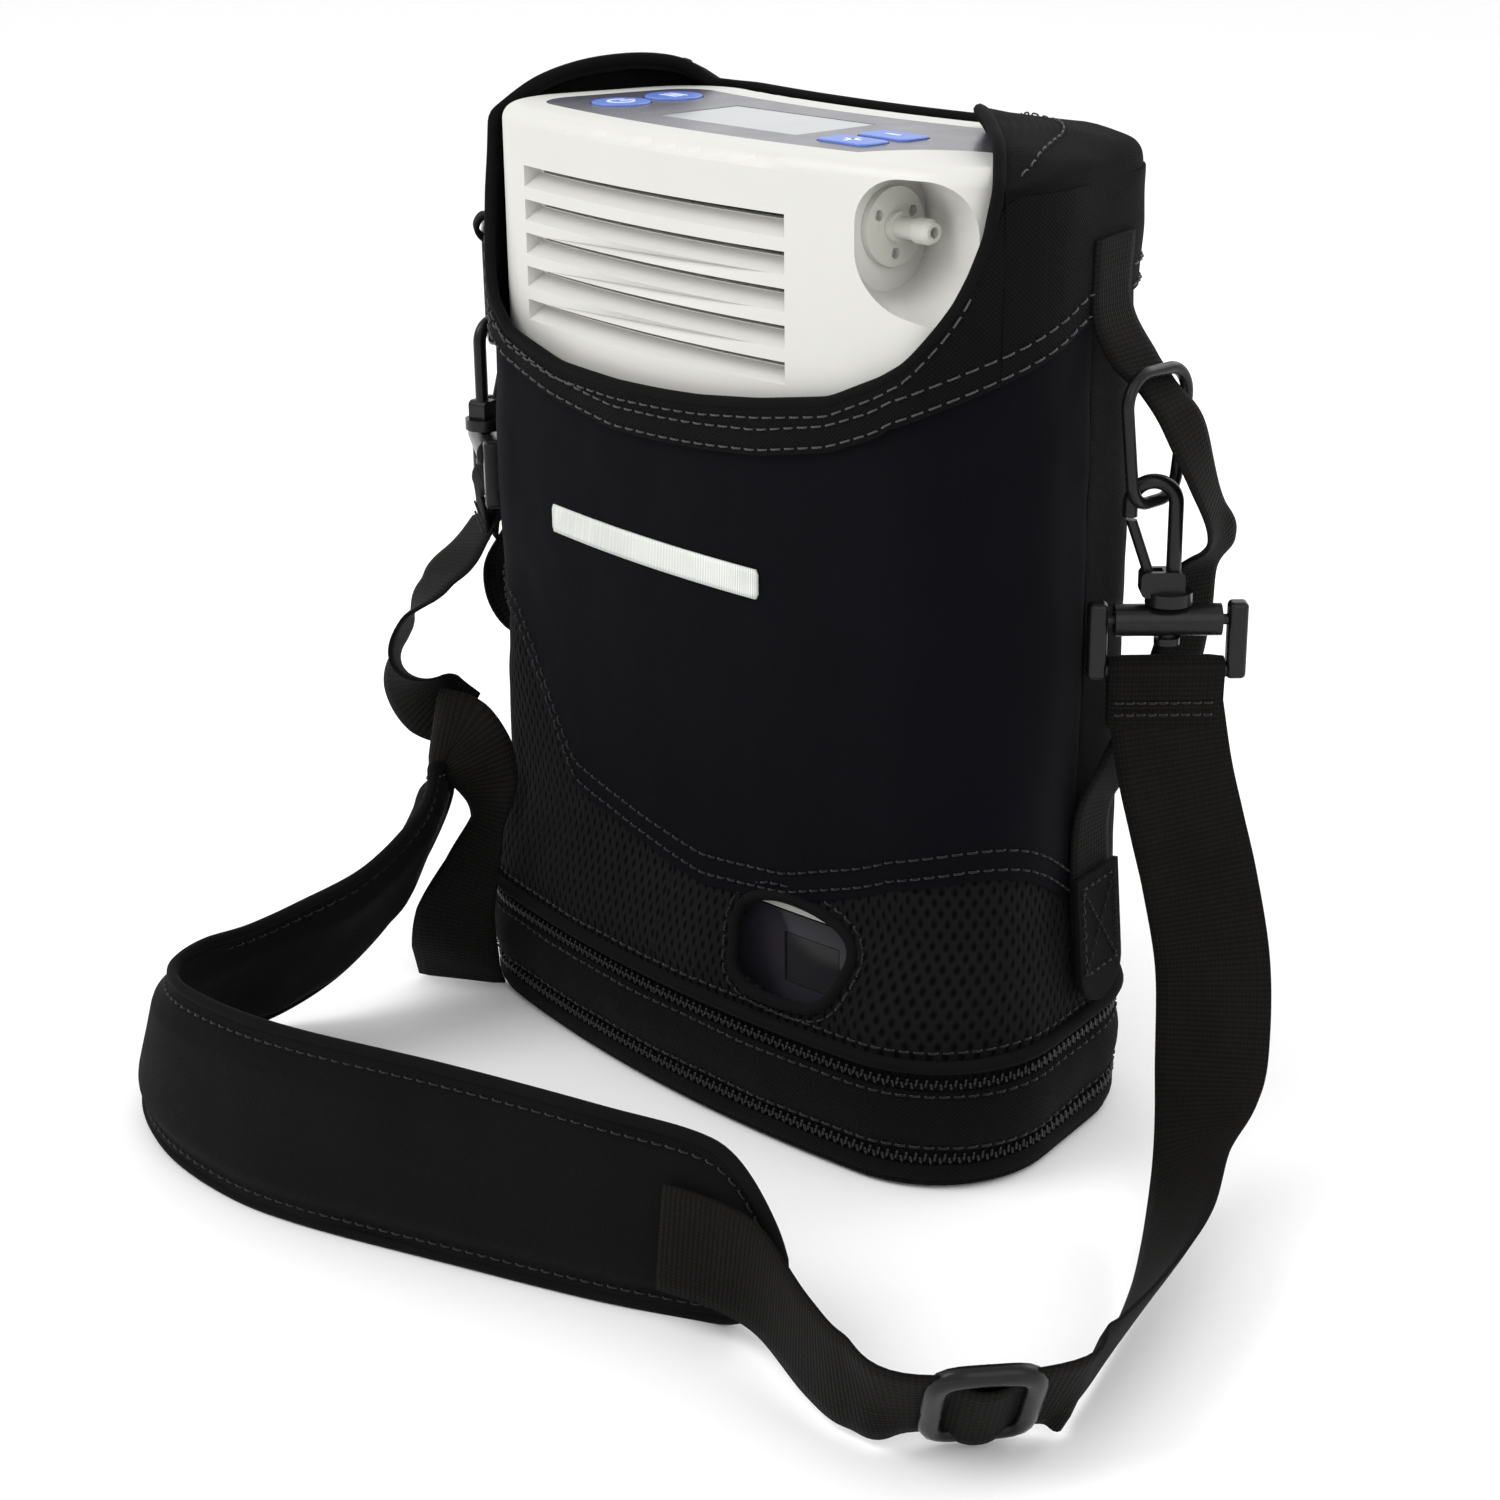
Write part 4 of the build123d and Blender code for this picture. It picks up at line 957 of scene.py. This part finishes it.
right_rows, right_inner = make_hood("right", RIGHT_HOOD, RIGHT_RIM, 3.4, 6.0)
left_rows, left_inner = make_hood("left", LEFT_HOOD, LEFT_RIM, 2.2, 1.0)

# one binding runs round the whole top opening: front edge, right hood, back edge, left hood
front_edge = [on_wall(i, OPEN_EDGE[i % COUNT], 1.7) for i in range(-HOOD_START + 1, HOOD_START)]
rear_edge = [on_wall(i, 248.8, 1.0) for i in range(RIGHT_END + 1, LEFT_END)]
opening = front_edge + right_inner + rear_edge + left_inner
RIM_STEPS = 420
opening = resample(close_path(opening), RIM_STEPS + 1)[:-1]
for _ in range(2):
    later = opening[1:] + opening[:1]
    opening = [(opening[i - 1] + opening[i] * 2 + later[i]) / 4 for i in range(RIM_STEPS)]
finish_piece("opening_binding", tube(opening, 1.55, sides=9, closed=True), TAPE)


def make_wall_stitches():
    bm = bmesh.new()
    coarse = {"pitch": 4.4, "length": 2.9}
    for shift in (1.6, 6.6):
        sew(bm, ALL_ROUND, YOKE_SEAM, YOKE, shift, closed=True, **coarse)
    front = list(range(-HOOD_START + 2, HOOD_START - 1))
    sew(bm, front, OPEN_EDGE, YOKE[:1], -3.0, **coarse)
    for rows in (right_rows, left_rows):
        row = rows[-3][3:-3]
        ways = [Vector((0, 0, 1))] * len(row)
        merge(bm, stitches(drape(row, ways, HOODS), ways, **coarse))
    finish_piece("yoke_stitches", bm, THREAD)
    bm = bmesh.new()
    for shift in (2.0, 7.0):
        sew(bm, ALL_ROUND, LOWER_SEAM, [FRONT_PANEL, BACK_PANEL], shift, closed=True)
    sew(bm, ALL_ROUND, level(37.5), [MESH_PANEL], 0, closed=True)
    for z in (12.2, 26.0):
        sew(bm, ALL_ROUND, level(z), [EXPANSION], 0, closed=True)
    finish_piece("panel_stitches", bm, DARK_THREAD)


make_wall_stitches()


# ==== webbing
SPREAD_TAN, SPREAD_SIN, SPREAD_COS = 0.24270, 0.2359, 0.9718  # lean of the bag's ends from straight back
END_RIGHT, END_LEFT, SIDE_WAY = (-SPREAD_SIN, SPREAD_COS, 0), (SPREAD_SIN, SPREAD_COS, 0), (0, 1, 0)
WEB, WEB_THICK = 27.7, 1.5


def ribbon(middles, acrosses, widths, thick, per_span=10, crumple=0.5):
    """Webbing along a path: rounded edges, slight unevenness, texture coordinates across and along."""
    path = spline(middles, per_span)
    ways = spline([Vector(a).normalized() for a in acrosses], per_span)
    wide = [along(list(enumerate(widths)), k / per_span) for k in range(len(path))]
    lengths = reaches(path)
    bm = bmesh.new()
    rows, uvs = [], []
    across_steps = 9
    for k, point in enumerate(path):
        ahead = (path[min(k + 1, len(path) - 1)] - path[max(k - 1, 0)]).normalized()
        way = (ways[k] - ahead * ways[k].dot(ahead)).normalized()
        up = ahead.cross(way)
        half = wide[k] / 2
        line, uv_line = [], []
        for face in (1, -1):
            for s in range(across_steps):
                t = (s / (across_steps - 1)) * 2 - 1
                t *= face
                bend = rumple(point + way * t * half, 30, crumple)
                depth = thick / 2 * (1.0 if abs(t) < 0.99 else 0.45)
                line.append(point + way * (t * half) + up * (bend + face * depth))
                uv_line.append((t * half * face + (0 if face > 0 else 60), lengths[k]))
        rows.append(line)
        uvs.append(uv_line)
    capped(bm, rows, uvs)
    return bm


def webbing(name, node, middles, acrosses, widths, crumple):
    bm = ribbon(middles, acrosses, widths, WEB_THICK, crumple=crumple)
    finish_piece(name, bm, WEBBING, replaces=[node])


def on_end(side, y, z, out):
    x = (ARC - y) * SPREAD_TAN + out / 0.97178
    return (x if side == "right" else -x, y, z)


RIGHT_SIDE = [
    (on_end("right", 18, 231, 3.4), END_RIGHT, 19), (on_end("right", 18, 214, 3.4), END_RIGHT, 19),
    ((99.5, 19, 203), SIDE_WAY, 16), ((107, 19, 197.5), SIDE_WAY, 13), ((113.5, 20.5, 190), SIDE_WAY, 14),
    ((117, 24.5, 177), (-0.3, 0.95, 0), 15), ((117.5, 29.5, 166), (-0.4, 0.92, 0), 14),
    ((114, 34, 158), (-0.1, 0.99, 0), 13), ((106.4, 35.5, 150), (0.2, 0.98, 0), 14),
    ((104.5, 35.5, 136), (0.2, 0.98, 0), 15), ((102, 31, 118), (0.1, 0.99, 0), 19),
    ((97, 24, 103), SIDE_WAY, 19), (on_end("right", 18, 90, 3.2), END_RIGHT, 19),
    (on_end("right", 17, 72, 3.2), END_RIGHT, 19), (on_end("right", 17, 42, 6.2), END_RIGHT, 19),
]
LEFT_SIDE = [
    (on_end("left", 10, 201, 3.4), END_LEFT, 19), (on_end("left", 10, 188, 2.6), END_LEFT, 19),
    ((-100, 7, 174), SIDE_WAY, 19), ((-102, 6, 158), SIDE_WAY, 19), ((-104.5, 5, 140), SIDE_WAY, 19),
    ((-112, 0, 125), SIDE_WAY, 19), ((-119, -3, 111), SIDE_WAY, 19), ((-115, -1, 97), SIDE_WAY, 19),
    (on_end("left", 8, 86, 3.6), END_LEFT, 19), (on_end("left", 8, 72, 3.0), END_LEFT, 19),
    (on_end("left", 8, 42, 6.0), END_LEFT, 19),
]
webbing("side_webbing_right", "side_strap_right", *zip(*RIGHT_SIDE), 0.2)
webbing("side_webbing_left", "side_strap_left", *zip(*LEFT_SIDE), 0.2)

RING_LEFT, RING_LEFT_WAY = (-106.3, -15, 197.5), (0.839, -0.545, 0)
RING_HALF, TAB_ROUND = 15.5, 3.3


def round_limb(angle):
    x, y, z = RING_LEFT
    inward = TAB_ROUND * math.cos(math.radians(angle))
    return (x - inward * RING_LEFT_WAY[1], y + inward * RING_LEFT_WAY[0],
            z + RING_HALF + TAB_ROUND * math.sin(math.radians(angle)))


TAB_WAY = (-SPREAD_SIN, -SPREAD_COS, 0)
TAB = [(on_end("left", 0, 226, 3.2), TAB_WAY, 11), ((-101.5, -8, 218.5), (0.4, -0.9, 0), 9.5)]
TAB += [(round_limb(angle), RING_LEFT_WAY, 9) for angle in (60, 120, 180, 240, 300)]
TAB += [((-101.5, -8, 207.5), (0.4, -0.9, 0), 9.5), (on_end("left", 0, 204, 3.2), TAB_WAY, 11)]
webbing("ring_tab", "ring_tab_left", *zip(*TAB), 0.05)

GLIDE_LEAN = (0.444, -0.314, 0.84)
RIGHT_MIDDLES = [
    (110.5, 22.4, 120), (115, 21.5, 105), (119.5, 21.5, 92), (124, 22, 78), (129, 22, 59), (133.5, 18, 42),
    (139, 10, 29), (147.4, -5.3, 19), (161.8, -27.6, 15), (174.2, -53.4, 14), (184, -79, 14.8),
    (186.9, -93.8, 15.8),
    (168.5, -119.8, 15.8), (154, -123.5, 16), (140, -121.5, 17), (119, -116.4, 21), (106, -117.9, 22.8),
    (93, -123.0, 24),
]
RIGHT_ACROSS = [
    (0.656, 0.755, 0), (0.66, 0.75, 0), (0.67, 0.74, 0), (0.69, 0.72, 0.05), (0.72, 0.66, 0.2),
    (0.61, 0.62, 0.48),
    (0.52, 0.59, 0.62), (0.44, 0.51, 0.74), (0.41, 0.48, 0.78), (0.36, 0.41, 0.84), (0.43, -0.1, 0.9),
    GLIDE_LEAN,
    GLIDE_LEAN, (0.25, -0.2, 0.95), (0.1, -0.1, 0.99), (0, 0, 1), (0, 0, 1), (0, 0, 1),
]
LEFT_MIDDLES = [
    (-105.5, -19.5, 132), (-105.5, -28, 124), (-106, -38, 116), (-107.5, -47, 107), (-108.5, -51, 97),
    (-107, -49, 88), (-103, -43, 81), (-98, -36, 76),
]
LEFT_ACROSS = [
    (0.863, -0.506, 0), (0.7, -0.65, -0.25), (0.5, -0.75, -0.4), (0.45, -0.8, -0.35), (0.7, -0.6, 0.1),
    (0.85, -0.1, 0.4), (0.6, 0.4, 0.65), (0.4, 0.5, 0.75),
]
TAIL_MIDDLES = [
    (-91, -46.5, 0.9), (-86.5, -51.5, 12), (-84, -52.4, 24), (-80, -49, 39), (-77.5, -45, 53),
    (-78.5, -43.5, 63),
    (-81.5, -44.5, 71), (-86.2, -46, 76.5), (-91, -49, 78), (-95.5, -48, 77), (-97, -44, 75),
    (-94, -40, 73),
]
TAIL_ACROSS = [
    (0.8, 0.6, 0), (0.66, 0.66, -0.3), (0.65, 0.69, -0.3), (0.72, 0.6, -0.1), (0.8, 0.35, 0.3),
    (0.45, 0.5, 0.65),
    (0.2, 0.5, 0.85), (0, 0.4, 0.92), (-0.05, 0.37, 0.92), (-0.1, 0.3, 0.94), (-0.1, 0.3, 0.94),
    (-0.1, 0.3, 0.94),
]
TAIL_WIDTHS = [26, 26, 23, 16, 11, 18, 22, 23, 23, 22, 20, 18]
webbing("strap_right_webbing", "strap_right", RIGHT_MIDDLES, RIGHT_ACROSS, [WEB] * 18, 0.5)
webbing("strap_left_webbing", "strap_left", LEFT_MIDDLES, LEFT_ACROSS, [WEB] * 6 + [24, 18], 0.5)
webbing("strap_tail_webbing", "strap_tail", TAIL_MIDDLES, TAIL_ACROSS, TAIL_WIDTHS, 0.8)

RING_RIGHT = (107, 19, 186)
HOOK_OUT, BAR_DROP = 4.5, 15.5 + 0.6 + 28.5 + 12.5  # from a ring's middle to the webbing's bar
TURNS = {"left": ((0.191, -0.982), (0.863, -0.506)), "right": ((0.656, 0.755), (0.656, 0.755))}


def bar_place(side):
    """Middle of the frame's webbing bar, and the direction along the bar."""
    x, y, z = RING_LEFT if side == "left" else RING_RIGHT
    hook, bar = TURNS[side]
    return Vector((x + HOOK_OUT * hook[0], y + HOOK_OUT * hook[1], z - BAR_DROP)), Vector((*bar, 0))


def make_end_loop(side, below):
    """The webbing's end turned round the bar and sewn to itself."""
    centre, way = bar_place(side)
    out = Vector((way.y, -way.x, 0))
    radius = 2.9
    foot, neck = centre - Vector((0, 0, below)), centre - Vector((0, 0, 6))
    path = [foot + out * 1.7, neck + out * 2.0]
    for degrees in range(-30, 211, 20):
        a = math.radians(degrees)
        path.append(centre + out * math.cos(a) * radius + Vector((0, 0, math.sin(a) * radius)))
    path += [neck - out * 1.4, foot - out * 0.6]
    bm = ribbon(path, [way] * len(path), [WEB] * len(path), WEB_THICK, per_span=3, crumple=0.0)
    finish_piece("end_loop_" + side, bm, WEBBING, replaces=["strap_" + side])
    rows = bmesh.new()
    for drop in (7.5, 10.5):
        line = [centre - Vector((0, 0, drop)) + way * s + out * 2.75 for s in (-12, -6, 0, 6, 12)]
        merge(rows, stitches(line, [out] * 5, pitch=2.6, length=1.8))
    finish_piece("end_stitches_" + side, rows, DARK_THREAD)


make_end_loop("right", 14)
make_end_loop("left", 12)


def make_patch(side, y, low, high, out, lean, tip):
    """Reinforced patch with a rounded foot and a crossed box of stitches."""
    way = Vector(END_RIGHT if side == "right" else END_LEFT)
    flat = Vector((SPREAD_COS if side == "right" else -SPREAD_COS, SPREAD_SIN, 0))
    bm = bmesh.new()
    rows, uvs = [], []
    half = 10.5
    steps = 22
    for r in range(steps + 1):
        z = lerp(low, high, r / steps)
        width = max(half * rounded((z - low) / tip), 1.5)
        tilt = out + lean * (high - z)
        start = Vector(on_end(side, y, z, tilt))
        rows.append([start + way * width * (s / 5 - 1) for s in range(11)])
        uvs.append([(width * (s / 5 - 1), z) for s in range(11)])
    grid(bm, rows, uvs)
    if side == "left":
        bmesh.ops.reverse_faces(bm, faces=bm.faces)
    piece = finish_piece("patch_" + side, bm, TAPE, replaces=["side_strap_" + side])
    thicken(piece, 1.4, offset=1.0, edge=0.4)
    box = bmesh.new()

    def at(s, z):
        return Vector(on_end(side, y, z, out + lean * (high - z) + 1.5)) + way * s

    corners = [(-8, high - 2.5), (8, high - 2.5), (8, low + 9), (-8, low + 9)]
    for a, b in ((0, 1), (1, 2), (2, 3), (3, 0), (0, 2), (1, 3)):
        (s0, z0), (s1, z1) = corners[a], corners[b]
        line = [at(lerp(s0, s1, k / 6), lerp(z0, z1, k / 6)) for k in range(7)]
        merge(box, stitches(line, [flat] * 7, pitch=3.0, length=2.0))
    finish_piece("patch_stitches_" + side, box, DARK_THREAD)


make_patch("right", 17, 40, 74, 4.2, 0.09, 9)
make_patch("left", 8, 40, 74, 4.0, 0.09, 9)


# ==== shoulder pad
PAD_EDGES = [
    ((119, -109, 6), (119, -110, 38)), ((100, -112, 1.5), (100, -113, 46)),
    ((74, -126, 1.5), (73, -124, 48)), ((37, -142, 1.5), (36, -140, 50)), ((-2, -158, 1.5), (-2, -155, 50)),
    ((-27, -164, 1.5), (-27, -160, 49)),
    ((-55, -164, 2), (-50, -160, 48)), ((-80, -156, 3), (-66, -152, 46)), ((-97, -141, 4), (-74, -139, 45)),
    ((-103, -124, 4), (-76, -124, 44)), ((-100, -106, 5), (-74, -109, 47)),
    ((-93, -89, 14), (-68, -92, 54)),
    ((-91, -72, 26), (-69, -75, 63)), ((-93, -61, 36), (-76, -64, 68)), ((-91, -53, 48), (-82, -59, 73)),
    ((-89, -46, 58), (-88, -53, 74)),
]


def pad_frame():
    lows = spline([a for a, _ in PAD_EDGES], 14)
    highs = spline([b for _, b in PAD_EDGES], 14)
    middles = [(a + b) / 2 for a, b in zip(lows, highs)]
    frames = []
    for k, (a, b, reach) in enumerate(zip(lows, highs, reaches(middles))):
        ahead = (middles[min(k + 1, len(middles) - 1)] - middles[max(k - 1, 0)]).normalized()
        frames.append((a, b, ahead.cross((b - a).normalized()).normalized(), reach))
    return frames


def pad_outline(reach, total):
    """Width of the pad as a share of its full width: both ends are rounded."""
    return max(min(rounded(reach / 20), rounded((total - reach) / 16)), 0.12)


PAD_HEM = 3.2
PAD_RIM_STEPS = 400


def make_pad():
    frames = pad_frame()
    total = frames[-1][3]
    bm = bmesh.new()
    rows, uvs = [], []
    for a, b, face, reach in frames:
        middle, half = (a + b) / 2, (b - a) / 2 * pad_outline(reach, total)
        width = half.length
        line, uv_line = [], []
        for side in (1, -1):
            for s in range(21):
                t = (s / 20 * 2 - 1) * side
                edge = (1 - abs(t)) * width
                close = min(edge, reach + 2, total - reach + 2)
                if close > PAD_HEM:
                    fat = lerp(0.9, 4.1, smooth((close - PAD_HEM) / 7))
                else:
                    fat = lerp(1.3, 0.9, close / PAD_HEM)
                if edge < 0.3:
                    fat = 0.6
                where = middle + half * t
                puff = rumple(where, 32, 1.5, 5.0) + rumple(where, 12, 0.7, 5.0)
                fat_here = fat + (puff * 0.5 if edge > 4 else 0)
                line.append(where + face * (side * fat_here + puff * 0.8))
                uv_line.append((t * width * side + (0 if side > 0 else 80), reach))
        rows.append(line)
        uvs.append(uv_line)
    capped(bm, rows, uvs)
    bmesh.ops.recalc_face_normals(bm, faces=bm.faces)
    piece = finish_piece("shoulder_pad_cloth", bm, PAD_CLOTH, replaces=["shoulder_pad"])
    rim, path_up, path_low, ways = bmesh.new(), [], [], []
    for a, b, face, reach in frames:
        middle, half = (a + b) / 2, (b - a) / 2 * pad_outline(reach, total)
        path_up.append(middle + half)
        path_low.append(middle - half)
        ways.append(face)
    edge = path_up + path_low[::-1]
    edge = resample(close_path(edge), PAD_RIM_STEPS + 1)[:-1]
    finish_piece("pad_binding", tube(edge, 1.5, sides=8, closed=True), TAPE)
    for sign in (1, -1):
        for path in (path_up, path_low):
            line = []
            for k, p in enumerate(path):
                middle = (path_up[k] + path_low[k]) / 2
                inward = (middle - p)
                inward = inward.normalized() * min(3.6, inward.length * 0.5)
                line.append(p + inward + ways[k] * sign * 1.25)
            normals = [way * sign for way in ways[4:-4]]
            merge(rim, stitches(line[4:-4], normals, pitch=3.4, length=2.2, radius=0.22))
    finish_piece("pad_stitches", rim, DARK_THREAD)


make_pad()


# ==== strap slider
def make_glide():
    """Three-bar slider: a rounded frame with a middle bar that the webbing rides over."""
    start, end = Vector(RIGHT_MIDDLES[11]), Vector(RIGHT_MIDDLES[12])
    centre = (start + end) / 2
    way = (end - start).normalized()
    up = Vector(GLIDE_LEAN).normalized()
    up = (up - way * up.dot(way)).normalized()
    out = way.cross(up).normalized()
    if out.y > 0:
        out = -out
    bm = bmesh.new()
    half_long, half_tall = 10.6, 13.6
    path = []
    for k in range(48):
        a = 2 * math.pi * k / 48
        c, s = math.cos(a), math.sin(a)
        size = 1.0 / (abs(c) ** 5 + abs(s) ** 5) ** 0.2
        path.append(centre + way * c * size * half_long + up * s * size * half_tall + out * 1.2)
    merge(bm, tube(path, 2.7, sides=10, closed=True, flat=0.8))
    dip = ((-13.2, 0.8), (-11, -0.2), (-7, -1.6), (0, -1.9), (7, -1.6), (11, -0.2), (13.2, 0.8))
    bars = [centre + up * s + out * h for s, h in dip]
    merge(bm, tube(spline(bars, 4), 2.2, sides=8))
    finish_piece("glide", bm, HARDWARE, body="slider", replaces=["strap_slider"])
    swell = [(-7.4, 0.6), (-6, 1.4), (-4, 3.0), (-1.5, 3.9), (1.5, 3.9), (4, 3.0), (6, 1.4), (7.4, 0.6)]
    path = [centre + way * s + out * h - up * 1.2 for s, h in swell]
    bump = ribbon(path, [up] * len(path), [25.5] * len(path), 1.4, per_span=4, crumple=0.0)
    finish_piece("slider_webbing", bump, WEBBING, replaces=["strap_right"])


make_glide()


# ==== reflective bar and button symbols
def make_reflective():
    bm = bmesh.new()
    rows, uvs = [], []
    for r in range(7):
        z = lerp(142.3, 149.7, r / 6)
        trim = 0.6 if r in (0, 6) else 0.0
        row = []
        for k in range(41):
            x = lerp(-49.5 + trim, 33.5 - trim, k / 40)
            point, way = on_face(x, z, 0)
            row.append(point + way * 2.3)
        rows.append(row)
        uvs.append([(p.x, p.z) for p in row])
    grid(bm, rows, uvs)
    piece = finish_piece("reflective_bar", bm, REFLECTIVE, replaces=["reflective_tab"])
    thicken(piece, 0.7)


make_reflective()


def stroke(bm, points, width, top):
    """A flat printed line at height top, in the plane of a button."""
    rows = []
    for k, p in enumerate(points):
        before, after = points[max(k - 1, 0)], points[min(k + 1, len(points) - 1)]
        ahead = (Vector(after) - Vector(before)).normalized()
        side = Vector((-ahead.y, ahead.x)) * width / 2
        rows.append([(p[0] - side.x, p[1] - side.y, top), (p[0] + side.x, p[1] + side.y, top)])
    made = [[bm.verts.new(p) for p in row] for row in rows]
    for a, b in zip(made, made[1:]):
        bm.faces.new((a[0], a[1], b[1], b[0]))


def arc(x, y, radius, start, end, steps=28):
    angles = [math.radians(lerp(start, end, k / steps)) for k in range(steps + 1)]
    return [(x + radius * math.cos(angle), y + radius * math.sin(angle)) for angle in angles]


def make_symbol(button, width, *lines):
    low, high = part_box(button)
    top = high[2] / MM + 0.06
    bm = bmesh.new()
    for line in lines:
        stroke(bm, line, width, top)
    bmesh.ops.recalc_face_normals(bm, faces=bm.faces)
    for face in bm.faces:
        if face.normal.z < 0:
            face.normal_flip()
    piece = finish_piece("symbol_" + button, bm, SYMBOL, body=button)
    thicken(piece, 0.12, offset=0.0)


make_symbol("button_power", 0.9, arc(-60, -4, 3.4, 125, 415), [(-60, -4.2), (-60, 0.6)])
make_symbol("button_mode", 0.8, *([(-63.5, y), (-56.5, y)] for y in (15.6, 13.8, 12.0)))
make_symbol("button_plus", 1.1, [(32.7, -10.6), (38.3, -10.6)], [(35.5, -13.4), (35.5, -7.8)])
make_symbol("button_minus", 1.1, [(33.9, 1.8), (39.1, 1.8)])
